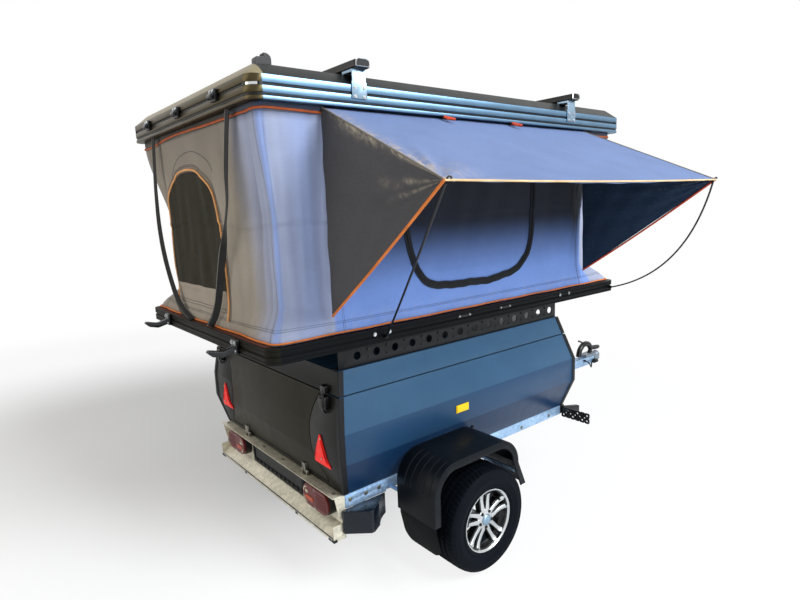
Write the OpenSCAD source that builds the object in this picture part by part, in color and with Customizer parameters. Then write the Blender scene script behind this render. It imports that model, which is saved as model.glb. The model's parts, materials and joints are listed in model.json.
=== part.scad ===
// Single-axle box trailer that carries an erected hard-shell roof tent with a side awning.
// Millimetres. +X points forward to the coupling, +Y to the left, +Z up.
// The modules are drawn with the axle centre over x = 0 and the ground at z = 0;
// place() then moves the origin to the centre of the coupling's ball socket.

/* [Wheels] */
// Outer diameter of a road tyre
tyre_d = 468; // [420:1:500]
// Width of a road tyre
tyre_w = 195; // [155:1:205]
// Diameter over the rim's outer lip
rim_d = 282; // [260:1:300]
// Distance between the middles of the two road tyres
track = 1585; // [1560:1:1640]

/* [Body box] */
// Length of the box at its widest faces
box_l = 1585; // [1400:1:1800]
// Width of the box at its widest faces
box_w = 1282; // [1240:1:1300]
// How far the box reaches behind the axle
box_behind_axle = 590; // [520:1:680]
// Height of the box's floor above the ground
box_floor_z = 443; // [430:1:470]
// Height of the box from its floor to the top of its lid
box_h = 532; // [480:1:640]
// Depth of the lid, down to the seam all round the box
lid_h = 100; // [80:1:130]
// Thickness of the box's sandwich walls
wall = 18; // [12:1:24]
// Gap at the seams round the lid and the tailgate
seam_gap = 5; // [5:0.5:8]
// Width of the tailgate at its top and bottom
tailgate_w = 960; // [900:1:980]
// Width of the tailgate at its waist
tailgate_waist = 804; // [740:1:840]

/* [Chassis] */
// Height of the side rails
rail_h = 56; // [50:1:70]
// Flange width of the side rails
rail_flange = 36; // [30:1:45]
// Thickness of the galvanised sheet
sheet = 4; // [3:0.5:5]
// Distance over the outer faces of the side rails
frame_w = 1160; // [1120:1:1170]
// Side of the square drawbar tube
drawbar_side = 60; // [50:1:70]
// Distance from the axle to the coupling's ball centre
ball_x = 2250; // [2000:1:2500]
// Side of the square axle beam
axle_side = 66; // [60:1:70]
// Diameter of the towing ball
ball_d = 50; // [50:0.1:50.8]

/* [Mudguards] */
// Height of the mudguards' tops above the ground
guard_top_z = 578; // [560:1:620]
// Width of a mudguard
guard_w = 238; // [225:1:250]
// Thickness of the moulded mudguards
guard_t = 5; // [4:0.5:7]
// Corner radius at the top of the mudguards
guard_r = 128; // [100:1:150]

/* [Tent] */
// Length of the tent's base
tent_l = 2210; // [2000:1:2400]
// Width of the tent's base
tent_w = 1354; // [1300:1:1450]
// How far the tent's base reaches behind the axle
tent_behind_axle = 873; // [780:1:960]
// Height of the base extrusions
tray_h = 60; // [50:1:70]
// Height of the roof above the base when the tent stands open
pop_up = 833; // [700:1:900]
// Height of the roof's frame extrusions
roof_frame_h = 79; // [70:1:95]
// Height of the bevelled panel above the roof's frame
roof_rise = 43; // [30:1:60]
// Thickness of the roof's sandwich panel
roof_skin = 14; // [10:1:24]
// Width of the bevel round the roof's panel
roof_bevel = 50; // [35:1:70]
// Overhang of the roof beyond the base at the front
roof_over_front = 17; // [0:1:30]
// Depth of the frame extrusions, outside to inside
extrusion_t = 40; // [38:1:46]
// Radius of the tent's rounded corners
corner_r = 50; // [35:1:70]
// Thickness of the canvas
canvas_t = 3; // [2:0.5:4]
// Inset of the canvas from the base's outer faces
canvas_inset = 33; // [28:1:38]
// Thickness of the tent's sandwich floor
floor_t = 24; // [18:1:45]

/* [Racks] */
// Height of the perforated plates between the box and the tent
rack_h = 100; // [90:1:130]
// Diameter of their round holes
rack_hole_d = 34; // [20:1:45]
// Pitch of their round holes
rack_pitch = 98; // [80:1:120]
// Height of the roof's crossbars
crossbar_h = 28; // [20:1:35]
// Width of the roof's crossbars
crossbar_w = 64; // [50:1:80]

/* [Awning] */
// How far the awning reaches out from the canvas
awning_reach = 655; // [500:1:750]
// How far its outer edge hangs below the top edge
awning_drop = 292; // [200:1:400]
// Diameter of the bent rods that hold it out
rod_d = 8; // [6:0.5:10]

/* [Jockey wheel] */
// Diameter of the jockey wheel
jockey_d = 200; // [180:1:220]
// Width of the jockey wheel
jockey_w = 50; // [40:1:60]
// Outer diameter of the clamped tube
jockey_tube_d = 48; // [42:1:60]
// Distance of the jockey wheel's tube behind the ball centre
jockey_behind_ball = 520; // [300:1:600]

/* [Hidden] */

$fn = 64;
eps = 0.01;
// Play between a shaft and its bore, on the radius
running = 0.06;
// Gap at rest between pieces that seat on each other
seat = 0.3;

// Box: heights of its two bends, and how far its faces lean in
box_x0 = -box_behind_axle;
box_x1 = box_x0 + box_l;
box_top_z = box_floor_z + box_h;
bend_low_z = box_floor_z + 154;
bend_high_z = box_floor_z + 282;
seam_z = box_top_z - lid_h;
lean_side_low = 55;
lean_side_high = 37;
lean_rear_low = 38;
lean_rear_high = 34;
lean_front_low = 37;
lean_front_high = 113;

// Tailgate: its foot, and the arcs of its sides
gate_z0 = box_floor_z + 20 + seam_gap;
waist_r = 270;
waist_z = box_floor_z + 237;

// Chassis
rail_top_z = box_floor_z;
rail_bottom_z = rail_top_z - rail_h;
frame_x0 = box_x0 + lean_rear_low + 8;
frame_x1 = box_x1 - lean_front_low;
axle_z = tyre_d / 2;
beam_x = 140;
beam_z = rail_bottom_z - axle_side / 2;
spindle_d = 28;
ball_z = 370;
drawbar_z = rail_bottom_z - drawbar_side / 2;
drawbar_x0 = beam_x + axle_side / 2 + 160;
drawbar_x1 = ball_x - 60;
cross_xs = [frame_x0 + 30, beam_x, drawbar_x0 + 60, frame_x1 - 30];

// Wheels and mudguards
wheel_y = track / 2;
wheel_face_y = wheel_y + tyre_w / 2;
guard_y1 = wheel_face_y - 4;
guard_y0 = guard_y1 - guard_w;
guard_rear_x = -322;
guard_front_x = 246;
guard_end_z = 328;
guard_lip = 30;

// Tent
rack_z0 = box_top_z;
tray_z0 = rack_z0 + rack_h;
tray_z1 = tray_z0 + tray_h;
tent_x0 = -tent_behind_axle;
tent_x1 = tent_x0 + tent_l;
tent_y = tent_w / 2;
roof_z0 = tray_z1 + pop_up;
roof_z1 = roof_z0 + roof_frame_h;
roof_x1 = tent_x1 + roof_over_front;
roof_top_z = roof_z1 + roof_rise;
bar_z = roof_top_z + 12;
bar_xs = [tent_x0 + 429, tent_x0 + 1749];
latch_y = 400;
canvas_x0 = tent_x0 + canvas_inset;
canvas_x1 = tent_x1 - canvas_inset;
canvas_y = tent_y - canvas_inset;
rail_y = frame_w / 2;
rack_y = 596;

// Awning
awning_x0 = -590;
awning_x1 = 1030;
awning_outer_x0 = -622;
awning_outer_x1 = 1104;
awning_top_z = roof_z0 - 3;
awning_edge_z = awning_top_z - awning_drop;
awning_y0 = -(canvas_y + seat);
awning_y1 = awning_y0 - awning_reach;
wing_foot_z = tray_z1 + 85;
awning_t = 3;

// Jockey wheel
jockey_x = ball_x - jockey_behind_ball;
jockey_y = -(drawbar_side / 2 + 12 + jockey_tube_d / 2);
jockey_trail = 38;
jockey_axle_z = jockey_d / 2;

// ---------------------------------------------------------------- helpers

// What is drawn beside the drawbar's right face, put beside its left face.
module on_left() mirror([0, 1, 0]) children();

// Moves the drawing from the axle and the ground to the ball socket's centre.
module place() translate([-ball_x, 0, -ball_z]) children();

// A box between two corners.
module block(a, b) translate(a) cube(b - a);

// The same shape on the left and, mirrored, on the right.
module both_sides() {
    children();
    mirror([0, 1, 0]) children();
}

// A rectangle with round corners between two corners.
module round_rect(a, b, r) {
    translate([a[0] + r, a[1]]) square([b[0] - a[0] - 2 * r, b[1] - a[1]]);
    translate([a[0], a[1] + r]) square([b[0] - a[0], b[1] - a[1] - 2 * r]);
    for (x = [a[0] + r, b[0] - r], y = [a[1] + r, b[1] - r]) translate([x, y]) circle(r);
}

// A rod along Y between y0 and y1.
module rod_y(r, y0, y1) translate([0, y1, 0]) rotate([90, 0, 0]) cylinder(r = r, h = y1 - y0);

// A profile drawn in X and Z, extruded along Y from y0 to y1.
module along_y(y0, y1) translate([0, y1, 0]) rotate([90, 0, 0]) linear_extrude(y1 - y0) children();

// A profile drawn in Y and Z, extruded along X from x0 to x1.
module along_x(x0, x1)
    translate([x0, 0, 0]) rotate([90, 0, 90]) linear_extrude(x1 - x0) children();

// Smallest corner radius inside a shell's ring.
shell_inner_r = 6;

// A ring of rounded plan between two heights, with its outer faces moved in by `inset`.
module tent_ring(x0, x1, z0, z1, inset, depth)
    translate([0, 0, z0]) linear_extrude(z1 - z0) difference() {
        round_rect([x0 + inset, -tent_y + inset], [x1 - inset, tent_y - inset], corner_r - inset);
        round_rect([x0 + inset + depth, -tent_y + inset + depth],
            [x1 - inset - depth, tent_y - inset - depth], max(corner_r - inset - depth, shell_inner_r));
    }

// ---------------------------------------------------------------- box

// Side view of the box, all faces moved in by t.
function side_profile(t) = [
    [box_x0 + lean_rear_low + t, box_floor_z], [box_x0 + t, bend_low_z],
    [box_x0 + t, bend_high_z], [box_x0 + lean_rear_high + t, box_top_z],
    [box_x1 - lean_front_high - t, box_top_z], [box_x1 - t, bend_high_z],
    [box_x1 - t, bend_low_z], [box_x1 - lean_front_low - t, box_floor_z]];

// Rear view of the box, all faces moved in by t.
function rear_profile(t) = let (w = box_w / 2 - t) [
    [-w + lean_side_low, box_floor_z], [-w, bend_low_z], [-w, bend_high_z],
    [-w + lean_side_high, box_top_z], [w - lean_side_high, box_top_z], [w, bend_high_z],
    [w, bend_low_z], [w - lean_side_low, box_floor_z]];

// Body of the box with its faces moved in by t.
module box_body(t) intersection() {
    along_y(-box_w, box_w) polygon(side_profile(t));
    along_x(box_x0 - 1, box_x1 + 1) polygon(rear_profile(t));
}

// Hollow walls of the box between two heights.
module box_walls(z0, z1) intersection() {
    difference() {
        box_body(0);
        box_body(wall);
    }
    block([box_x0 - 1, -box_w, z0], [box_x1 + 1, box_w, z1]);
}

// The tailgate's outline, waisted by an arc on each side, or its opening with a gap round it.
module tailgate_block(gap) difference() {
    block([box_x0 - 1, -tailgate_w / 2 - gap, gate_z0 - gap],
        [box_x0 + lean_rear_low + wall, tailgate_w / 2 + gap, seam_z + gap]);
    both_sides() translate([box_x0 - 2, tailgate_waist / 2 + waist_r, waist_z])
        rotate([0, 90, 0]) cylinder(r = waist_r - gap, h = 100, $fn = 128);
}

module box_tub() color([0.16, 0.2, 0.25]) {
    difference() {
        union() {
            box_walls(box_floor_z, seam_z - seam_gap / 2);
            intersection() {
                box_body(0);
                block([box_x0, -box_w, box_floor_z], [box_x1, box_w, box_floor_z + 12]);
            }
        }
        tailgate_block(seam_gap);
    }
}

module box_lid() color([0.18, 0.22, 0.28]) {
    box_walls(seam_z + seam_gap / 2, box_top_z - 10);
    intersection() {
        box_body(0);
        block([box_x0, -box_w, box_top_z - 12], [box_x1, box_w, box_top_z]);
    }
}

module tailgate() color([0.17, 0.17, 0.16]) intersection() {
    box_walls(gate_z0, seam_z - seam_gap / 2);
    tailgate_block(0);
}

// Tailgate hinges: barrels on the tub, knuckles on the gate, one pin each
hinge_r = 8;
hinge_pin_r = 4;
gate_hinge_x = box_x0 + lean_rear_low - 14;
gate_hinge_z = box_floor_z + 16;
gate_hinge_ys = [-300, 300];

// Lid hinges at the front
lid_hinge_x = box_x1 - lean_front_high + 58;
lid_hinge_z = seam_z;
lid_hinge_ys = [-380, 380];

// Knuckle round a pin along Y, joined to a leaf that is drawn as a child.
module knuckle(x, z, y0, y1, bore_r) difference() {
    union() {
        translate([x, 0, z]) rod_y(hinge_r, y0, y1);
        children();
    }
    translate([x, 0, z]) rod_y(bore_r, y0 - 1, y1 + 1);
}

// The gate's knuckles, each with a leaf up the gate's outer face.
module tailgate_hinges() color([0.55, 0.55, 0.52]) difference() {
    for (y = gate_hinge_ys)
        knuckle(gate_hinge_x, gate_hinge_z, y - 14, y + 14, hinge_pin_r + running)
            along_y(y - 14, y + 14) polygon([
                [gate_hinge_x - hinge_r, gate_hinge_z], [gate_hinge_x - hinge_r - 3, gate_hinge_z + 40],
                [gate_hinge_x + 20, gate_hinge_z + 40], [gate_hinge_x + 20, gate_hinge_z + 12],
                [gate_hinge_x, gate_hinge_z]]);
    box_body(-seat);
}

// The lid's knuckles, each with a leaf up the lid's front face.
module lid_hinges() color("silver") difference() {
    for (y = lid_hinge_ys)
        knuckle(lid_hinge_x, lid_hinge_z, y - 14, y + 14, hinge_pin_r + running)
            along_y(y - 14, y + 14) polygon([
                [lid_hinge_x + hinge_r, lid_hinge_z], [lid_hinge_x - 20, lid_hinge_z + 52],
                [lid_hinge_x - 60, lid_hinge_z + 52], [lid_hinge_x - 14, lid_hinge_z + 4],
                [lid_hinge_x - 5, lid_hinge_z]]);
    box_body(-seat);
}

// Pins of all four hinges, with the pairs of ears that carry them on the box and the lamp board.
module hinge_pins() color([0.6, 0.6, 0.6]) {
    for (y = gate_hinge_ys) {
        translate([gate_hinge_x, 0, gate_hinge_z]) rod_y(hinge_pin_r, y - 26, y + 26);
        for (s = [-1, 1]) along_y(y + s * 20 - 5, y + s * 20 + 5) {
            translate([gate_hinge_x, gate_hinge_z]) circle(hinge_r);
            translate([gate_hinge_x - hinge_r, rail_top_z + seat])
                square([2 * hinge_r, gate_hinge_z - rail_top_z]);
        }
    }
    for (y = lid_hinge_ys) {
        translate([lid_hinge_x, 0, lid_hinge_z]) rod_y(hinge_pin_r, y - 26, y + 26);
        difference() {
            for (s = [-1, 1]) along_y(y + s * 20 - 5, y + s * 20 + 5) {
                translate([lid_hinge_x, lid_hinge_z]) circle(hinge_r);
                polygon([[lid_hinge_x - 8, lid_hinge_z - 4], [lid_hinge_x + 8, lid_hinge_z],
                    [lid_hinge_x + 24, lid_hinge_z - 46], [lid_hinge_x, lid_hinge_z - 46]]);
            }
            box_body(-seat);
        }
    }
}

module box_latches() color([0.05, 0.05, 0.05]) both_sides() difference() {
    union() {
        block([box_x0 - 8, 508, seam_z - 60], [box_x0 + 60, 560, seam_z - 6]);
        block([box_x0 - 15, 520, seam_z - 52], [box_x0 + 30, 548, seam_z - 12]);
    }
    box_body(-seat);
}

module latch_keepers() color([0.05, 0.05, 0.05]) both_sides() difference() {
    block([box_x0 - 2, 516, seam_z + 6], [box_x0 + 60, 552, seam_z + 36]);
    box_body(-seat);
}

// Red triangles at the rear, amber bars on the sides.
module reflectors() both_sides() {
    color([0.85, 0.03, 0.03]) intersection() {
        difference() {
            box_body(-8);
            box_body(-seat);
        }
        along_x(box_x0 - 20, box_x0 + 40)
            polygon([[548, 558], [456, 558], [474, 640], [492, 696], [502, 696]]);
    }
    color([0.95, 0.7, 0.05]) block([48, box_w / 2 + seat, 650], [130, box_w / 2 + 8, 686]);
}

// ---------------------------------------------------------------- chassis

// Channel section of a side rail, its web at the outer face.
module rail_section() {
    square([sheet, rail_h]);
    square([rail_flange, sheet]);
    translate([0, rail_h - sheet]) square([rail_flange, sheet]);
}

module side_rails() color([0.72, 0.76, 0.8]) both_sides() along_x(frame_x0, frame_x1)
    translate([rail_y, rail_bottom_z]) mirror([1, 0]) rail_section();

// Cross members: channels between the rails, with their webs to the rear.
module cross_members() color([0.72, 0.76, 0.8]) for (x = cross_xs)
    along_y(-rail_y + sheet, rail_y - sheet) {
        translate([x - 20, rail_bottom_z + sheet]) square([sheet, rail_h - 2 * sheet]);
        for (z = [rail_bottom_z + sheet, rail_top_z - 2 * sheet])
            translate([x - 20, z]) square([40, sheet]);
    }

// Saddles under the two members that hold the drawbar.
module drawbar_saddles() for (x = [cross_xs[2], cross_xs[3]])
    block([x - 18, -drawbar_side / 2 + 4, rail_bottom_z - eps],
        [x + 18, drawbar_side / 2 - 4, rail_bottom_z + sheet - seat]);

module drawbar() color([0.74, 0.78, 0.81]) {
    drawbar_saddles();
    drawbar_tube();
}

module drawbar_tube() difference() {
    block([drawbar_x0, -drawbar_side / 2, rail_bottom_z - drawbar_side],
        [drawbar_x1, drawbar_side / 2, rail_bottom_z]);
    block([drawbar_x0 - 1, -drawbar_side / 2 + sheet, rail_bottom_z - drawbar_side + sheet],
        [drawbar_x1 + 1, drawbar_side / 2 - sheet, rail_bottom_z - sheet]);
}

socket_r = ball_d / 2 + 0.2;
socket_wall = 7;
socket_depth = 24;
module coupling_head() color([0.7, 0.72, 0.74]) difference() {
    union() {
        translate([ball_x, 0, ball_z - socket_depth])
            cylinder(r = socket_r + socket_wall, h = socket_depth + 10);
        translate([ball_x, 0, ball_z + 10]) intersection() {
            sphere(socket_r + socket_wall);
            translate([-60, -60, -eps]) cube([120, 120, 60]);
        }
        block([drawbar_x1 + seat, -34, ball_z - 20], [ball_x, 34, ball_z + 18]);
        block([drawbar_x1 - 120, -34, rail_bottom_z + seat], [drawbar_x1 + 20, 34, rail_bottom_z + 22]);
    }
    translate([ball_x, 0, ball_z - socket_depth - 1]) cylinder(r = socket_r, h = socket_depth + 1);
    translate([ball_x, 0, ball_z]) sphere(socket_r);
}

module coupling_handle() color([0.05, 0.05, 0.06]) {
    along_y(-11, 11) polygon([
        [drawbar_x1 - 40, rail_bottom_z + 22 + seat], [drawbar_x1 - 10, rail_bottom_z + 22 + seat],
        [drawbar_x1 + 10, ball_z + 66], [drawbar_x1 + 2, ball_z + 86], [drawbar_x1 - 14, ball_z + 82]]);
    translate([drawbar_x1 - 2, 0, ball_z + 76]) rotate([0, 96, 0]) cylinder(r = 13, h = 104);
}

// Route of the lighting cable from its gland in the drawbar's side to the parked plug
cable_points = [[2044, -44, 372], [2044, -52, 372], [2045, -62, 369], [2048, -71, 362],
    [2053, -76, 352], [2060, -78, 340], [2069, -76, 330], [2080, -72, 323], [2092, -66, 321],
    [2103, -60, 325], [2112, -55, 333], [2120, -52, 343], [2129, -50, 350], [2142, -50, 350]];
cable_d = 9;

// Unit vector.
function unit(v) = v / norm(v);

// Direction of a path of points at its i-th point.
function heading(p, i) = unit(p[min(i + 1, len(p) - 1)] - p[max(i - 1, 0)]);

// Ring of n points round the i-th point of a path, square to its direction.
function ring_at(p, i, r, n, up) = let (t = heading(p, i), a = unit(cross(t, up)), b = cross(a, t))
    [for (k = [0 : n - 1]) p[i] + r * (cos(360 * k / n) * a + sin(360 * k / n) * b)];

// A tube along a path, as one closed polyhedron.
module tube_along(p, r, n, up = [0, 0, 1]) {
    rings = [for (i = [0 : len(p) - 1]) each ring_at(p, i, r, n, up)];
    last = (len(p) - 1) * n;
    sides = [for (i = [0 : len(p) - 2], k = [0 : n - 1])
        [i * n + k, (i + 1) * n + k, (i + 1) * n + (k + 1) % n, i * n + (k + 1) % n]];
    polyhedron(rings, concat([[for (k = [0 : n - 1]) k]], sides,
        [[for (k = [n - 1 : -1 : 0]) last + k]]), convexity = 6);
}

module coupling_cable() color([0.06, 0.05, 0.05]) {
    tube_along(cable_points, cable_d / 2, 10, [0.3, 0.2, 1]);
}

// Gland in the drawbar's side, and the holder with the parked plug.
module cable_fittings() color([0.05, 0.05, 0.05]) {
    start = cable_points[0];
    end = cable_points[len(cable_points) - 1];
    translate([start[0], 0, start[2]]) rod_y(cable_d / 2 + 4, start[1], -drawbar_side / 2 - seat);
    translate(end) rotate([0, 90, 0]) cylinder(r = cable_d / 2 + 3, h = 10);
    translate(end + [10 - eps, 0, 0]) rotate([0, 90, 0]) cylinder(r = 15, h = 40);
    block([end[0] + 22, end[1], end[2] - 12], [end[0] + 46, -drawbar_side / 2 - seat, end[2] + 12]);
}

lamp_x = frame_x0 - seat;
lamp_board_y = frame_w / 2 - 1;
module lamp_board() color([0.76, 0.77, 0.74]) {
    along_y(-lamp_board_y, lamp_board_y) polygon([
        [lamp_x, rail_top_z], [lamp_x - 58, rail_top_z], [lamp_x - 58, rail_top_z - 3],
        [lamp_x - 3, rail_top_z - 3], [lamp_x - 3, 304], [lamp_x - 66, 262], [lamp_x - 66, 252],
        [lamp_x - 63, 252], [lamp_x - 63, 260], [lamp_x, 302]]);
    both_sides() along_y(lamp_board_y - 3, lamp_board_y) polygon([
        [lamp_x - 1, rail_top_z - 1], [lamp_x - 50, rail_top_z - 1], [lamp_x - 30, 340],
        [lamp_x - 1, 340]]);
}

module tail_lamps() color([0.6, 0.03, 0.03]) both_sides()
    along_x(lamp_x - 53, lamp_x - 3 - seat) round_rect([308, 322], [520, 426], 18);

module plate_holder() color([0.04, 0.04, 0.04]) difference() {
    block([lamp_x - 18, -262, 312], [lamp_x - 3 - seat, 262, 428]);
    block([lamp_x - 19, -254, 322], [lamp_x - 12, 254, 420]);
}

module axle_beam() color([0.7, 0.73, 0.76]) {
    block([beam_x - axle_side / 2, -frame_w / 2 + 15, beam_z - axle_side / 2],
        [beam_x + axle_side / 2, frame_w / 2 - 15, beam_z + axle_side / 2]);
}

module swing_arms() color([0.66, 0.69, 0.72]) both_sides() {
    arm_y = frame_w / 2 - 15;
    hull() {
        translate([beam_x, 0, beam_z]) rod_y(30, arm_y, arm_y + 26);
        translate([0, 0, axle_z]) rod_y(24, arm_y, arm_y + 26);
    }
    translate([0, 0, axle_z]) rod_y(spindle_d / 2, arm_y + 20, wheel_y + 20);
}

// ---------------------------------------------------------------- wheels

spoke_n = 5;
rim_w = 150;
rim_face_y = wheel_face_y - 12;
hub_r = 58;
lip = rim_d / 2;
bead_r = lip - 10;
y_in = rim_face_y - rim_w;
module rim() {
    difference() {
        union() {
            translate([0, 0, axle_z]) rotate([-90, 0, 0]) rotate_extrude($fn = 96) polygon([
                [lip - 6, y_in], [lip, y_in], [lip, y_in + 5], [bead_r, y_in + 12],
                [bead_r, y_in + 32], [lip - 18, y_in + 46], [lip - 18, rim_face_y - 46],
                [bead_r, rim_face_y - 34], [bead_r, rim_face_y - 13], [lip, rim_face_y - 6],
                [lip, rim_face_y], [lip - 5, rim_face_y], [lip - 14, rim_face_y - 12],
                [lip - 24, rim_face_y - 36], [lip - 24, y_in + 40], [lip - 16, y_in + 12]]);
            translate([0, 0, axle_z]) rod_y(hub_r, wheel_y - 60, wheel_y + 4);
            translate([0, 0, axle_z]) rod_y(30, wheel_y, rim_face_y - 14);
            for (i = [0 : spoke_n - 1], s = [-1, 1]) translate([0, 0, axle_z])
                rotate([0, 360 * i / spoke_n + 18, 0]) translate([s * 14 - 7, 0, 20])
                    along_x(0, 14) polygon([
                        [rim_face_y - 42, 0], [rim_face_y - 18, 0],
                        [rim_face_y - 14, lip - 36], [rim_face_y - 34, lip - 36]]);
        }
        translate([0, 0, axle_z]) rod_y(spindle_d / 2 + running, wheel_y - 61, wheel_y + 21);
    }
}

// The tyre's beads sit between the rim's two lips.
module tyre() translate([0, 0, axle_z]) rotate([-90, 0, 0]) rotate_extrude($fn = 96) {
    r = tyre_d / 2;
    foot = bead_r + seat;
    y0 = wheel_y - tyre_w / 2;
    y1 = wheel_face_y;
    polygon([[foot, y_in + 13], [lip + 1, y_in + 5.5], [lip + 1, y_in - 4], [r - 60, y0 + 1],
        [r - 45, y0], [r - 12, y0 + 8], [r - 3, y0 + 18], [r, y0 + 45], [r, y1 - 45],
        [r - 3, y1 - 18], [r - 12, y1 - 8], [r - 45, y1], [r - 60, y1 - 1],
        [lip + 1, rim_face_y + 1], [lip + 1, rim_face_y - 6.5], [foot, rim_face_y - 14],
        [foot, rim_face_y - 32], [r - 50, y1 - 26], [r - 14, y1 - 34], [r - 14, y0 + 34],
        [r - 50, y0 + 26], [foot, y_in + 30]]);
}

module rim_left() color("silver") rim();
module rim_right() color("silver") mirror([0, 1, 0]) rim();
module tyre_left() color([0.07, 0.07, 0.08]) tyre();
module tyre_right() color([0.07, 0.07, 0.08]) mirror([0, 1, 0]) tyre();

// ---------------------------------------------------------------- mudguards

// Side view of a mudguard's outside, moved in by t, down to its ends.
module guard_profile(t) {
    xr = guard_rear_x + t;
    xf = guard_front_x - 50 - t;
    zt = guard_top_z - t;
    r = guard_r - t;
    translate([xr + r, guard_end_z]) square([xf - xr - 2 * r, zt - guard_end_z]);
    translate([xr, guard_end_z]) square([xf - xr, zt - guard_end_z - r]);
    translate([xr + r, zt - r]) circle(r);
    translate([xf - r, zt - r]) circle(r);
    polygon([[xf - r, guard_end_z], [guard_front_x - t, guard_end_z],
        [xf - 2, zt - r], [xf - r, zt - r]]);
}

module mudguard() {
    difference() {
        along_y(guard_y0, guard_y1) guard_profile(0);
        along_y(guard_y0 - 1, guard_y1 - guard_t) intersection() {
            guard_profile(guard_t);
            translate([-600, guard_end_z - 1]) square([1200, 400]);
        }
        along_y(guard_y1 - guard_t - 1, guard_y1 + 1) guard_profile(guard_lip);
        block([-600, guard_y0 - 1, guard_end_z - guard_r], [600, guard_y1 + 1, guard_end_z + eps]);
    }
}
module mudguard_left() color([0.06, 0.065, 0.08]) mudguard();
module mudguard_right() color([0.06, 0.065, 0.08]) mirror([0, 1, 0]) mudguard();

// Rubber flaps behind the wheels, leaning forward below the mudguards.
flap_t = 4;
flap_foot_z = 180;
module mud_flaps() color([0.04, 0.04, 0.045]) both_sides() intersection() {
    x = guard_rear_x + guard_t + seat;
    along_y(guard_y0 + 10, guard_y1 - guard_t - seat) polygon([
        [x, guard_end_z + 30], [x + flap_t, guard_end_z + 30], [x + flap_t, guard_end_z - 20],
        [x + flap_t + 30, flap_foot_z], [x + 30, flap_foot_z],
        [x, guard_end_z - 20]]);
    along_x(x - 1, x + 50) round_rect([guard_y0 + 10, flap_foot_z],
        [guard_y1 - guard_t - seat, guard_end_z + 200], 50);
}

stay_r = 9;
stay_z = guard_end_z + 72;
module mudguard_stays() color([0.6, 0.63, 0.66]) both_sides() {
    translate([guard_rear_x + guard_t + stay_r + seat, 0, stay_z]) rod_y(stay_r, rail_y, guard_y1 - 20);
    translate([guard_front_x - 37 - guard_t - stay_r - 1, 0, stay_z])
        rod_y(stay_r, rail_y, guard_y1 - 20);
}

// ---------------------------------------------------------------- small chassis pieces

chock_z0 = 282;
chock_z1 = rail_bottom_z - 6;
chock_xs = [-566, -473, -323];
chock_out = 88;
chock_y = rail_y + 3;
module wheel_chocks() color([0.05, 0.05, 0.05]) both_sides() difference() {
    translate([0, 0, chock_z0]) linear_extrude(chock_z1 - chock_z0) polygon([
        [chock_xs[0], chock_y], [chock_xs[2], chock_y], [chock_xs[2] - 4, chock_y + 12],
        [chock_xs[1] + 10, chock_y + chock_out], [chock_xs[1] - 6, chock_y + chock_out],
        [chock_xs[0], chock_y + 16]]);
    translate([chock_xs[2] + 62, chock_y + 180, chock_z0 - 1]) cylinder(r = 196, h = 200, $fn = 96);
}

module chock_holders() color([0.7, 0.75, 0.8]) both_sides() {
    difference() {
        block([frame_x0 + 2, rail_y, chock_z1 + seat], [chock_xs[2] - 10, rail_y + 3, rail_top_z - 12]);
        for (x = [-520, -440, -370]) translate([x, 0, chock_z1 + 30]) rod_y(6, rail_y - 1, rail_y + 4);
    }
    block([frame_x0 + 2, rail_y - 30, chock_z1 + seat],
        [chock_xs[2] - 10, rail_y + 3, chock_z1 + seat + 3]);
    block([chock_xs[1] - 30, rail_y - 3, chock_z0 + 20],
        [chock_xs[1] + 30, rail_y + 3 - seat, chock_z1 + seat + 1]);
}

module marker_lamps() color([0.05, 0.05, 0.05]) both_sides() {
    block([frame_x1 - 12, rail_y + seat, rail_bottom_z + 6], [frame_x1 + 20, rail_y + 5, rail_top_z - 4]);
    along_y(rail_y + seat, rail_y + 22) polygon([
        [frame_x1 + 8, rail_top_z - 10], [frame_x1 + 150, rail_top_z - 40],
        [frame_x1 + 150, rail_top_z - 78], [frame_x1 + 8, rail_bottom_z + 10]]);
}

// ---------------------------------------------------------------- jockey wheel

clamp_h = 52;
clamp_bore_r = jockey_tube_d / 2 + running;
leg_z0 = jockey_d + 16;
tube_z0 = leg_z0 + 22;
tube_z1 = 508;
jockey_pin_r = 7;
jockey_cheek_y = jockey_w / 2 + 4;
caster_pin_r = 9;
caster_pin_h = 20;
fork_drop = 8;
module jockey_clamp() color([0.68, 0.71, 0.74]) difference() {
    union() {
        block([jockey_x - 34, -drawbar_side / 2 - 9, drawbar_z - clamp_h / 2],
            [jockey_x + 34, -drawbar_side / 2 - seat, drawbar_z + clamp_h / 2]);
        translate([jockey_x, jockey_y, drawbar_z - clamp_h / 2])
            cylinder(r = clamp_bore_r + 6, h = clamp_h);
        block([jockey_x + clamp_bore_r + 2, jockey_y - 10, drawbar_z - clamp_h / 2],
            [jockey_x + clamp_bore_r + 22, jockey_y + 10, drawbar_z + clamp_h / 2]);
        translate([jockey_x + clamp_bore_r + 13, 0, drawbar_z]) rod_y(5, jockey_y - 42, jockey_y + 16);
        block([jockey_x + clamp_bore_r + 9, jockey_y - 48, drawbar_z - 26],
            [jockey_x + clamp_bore_r + 17, jockey_y - 40, drawbar_z + 26]);
    }
    translate([jockey_x, jockey_y, drawbar_z - clamp_h]) cylinder(r = clamp_bore_r, h = 2 * clamp_h);
}

module jockey_leg() color([0.72, 0.75, 0.78]) difference() {
    union() {
        translate([jockey_x, jockey_y, leg_z0]) cylinder(r = jockey_tube_d / 2 - 4, h = 60);
        translate([jockey_x, jockey_y, tube_z0]) cylinder(r = jockey_tube_d / 2, h = tube_z1 - tube_z0);
    }
    translate([jockey_x, jockey_y, leg_z0 - 1])
        cylinder(r = caster_pin_r + running, h = caster_pin_h - fork_drop + 2);
}

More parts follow.
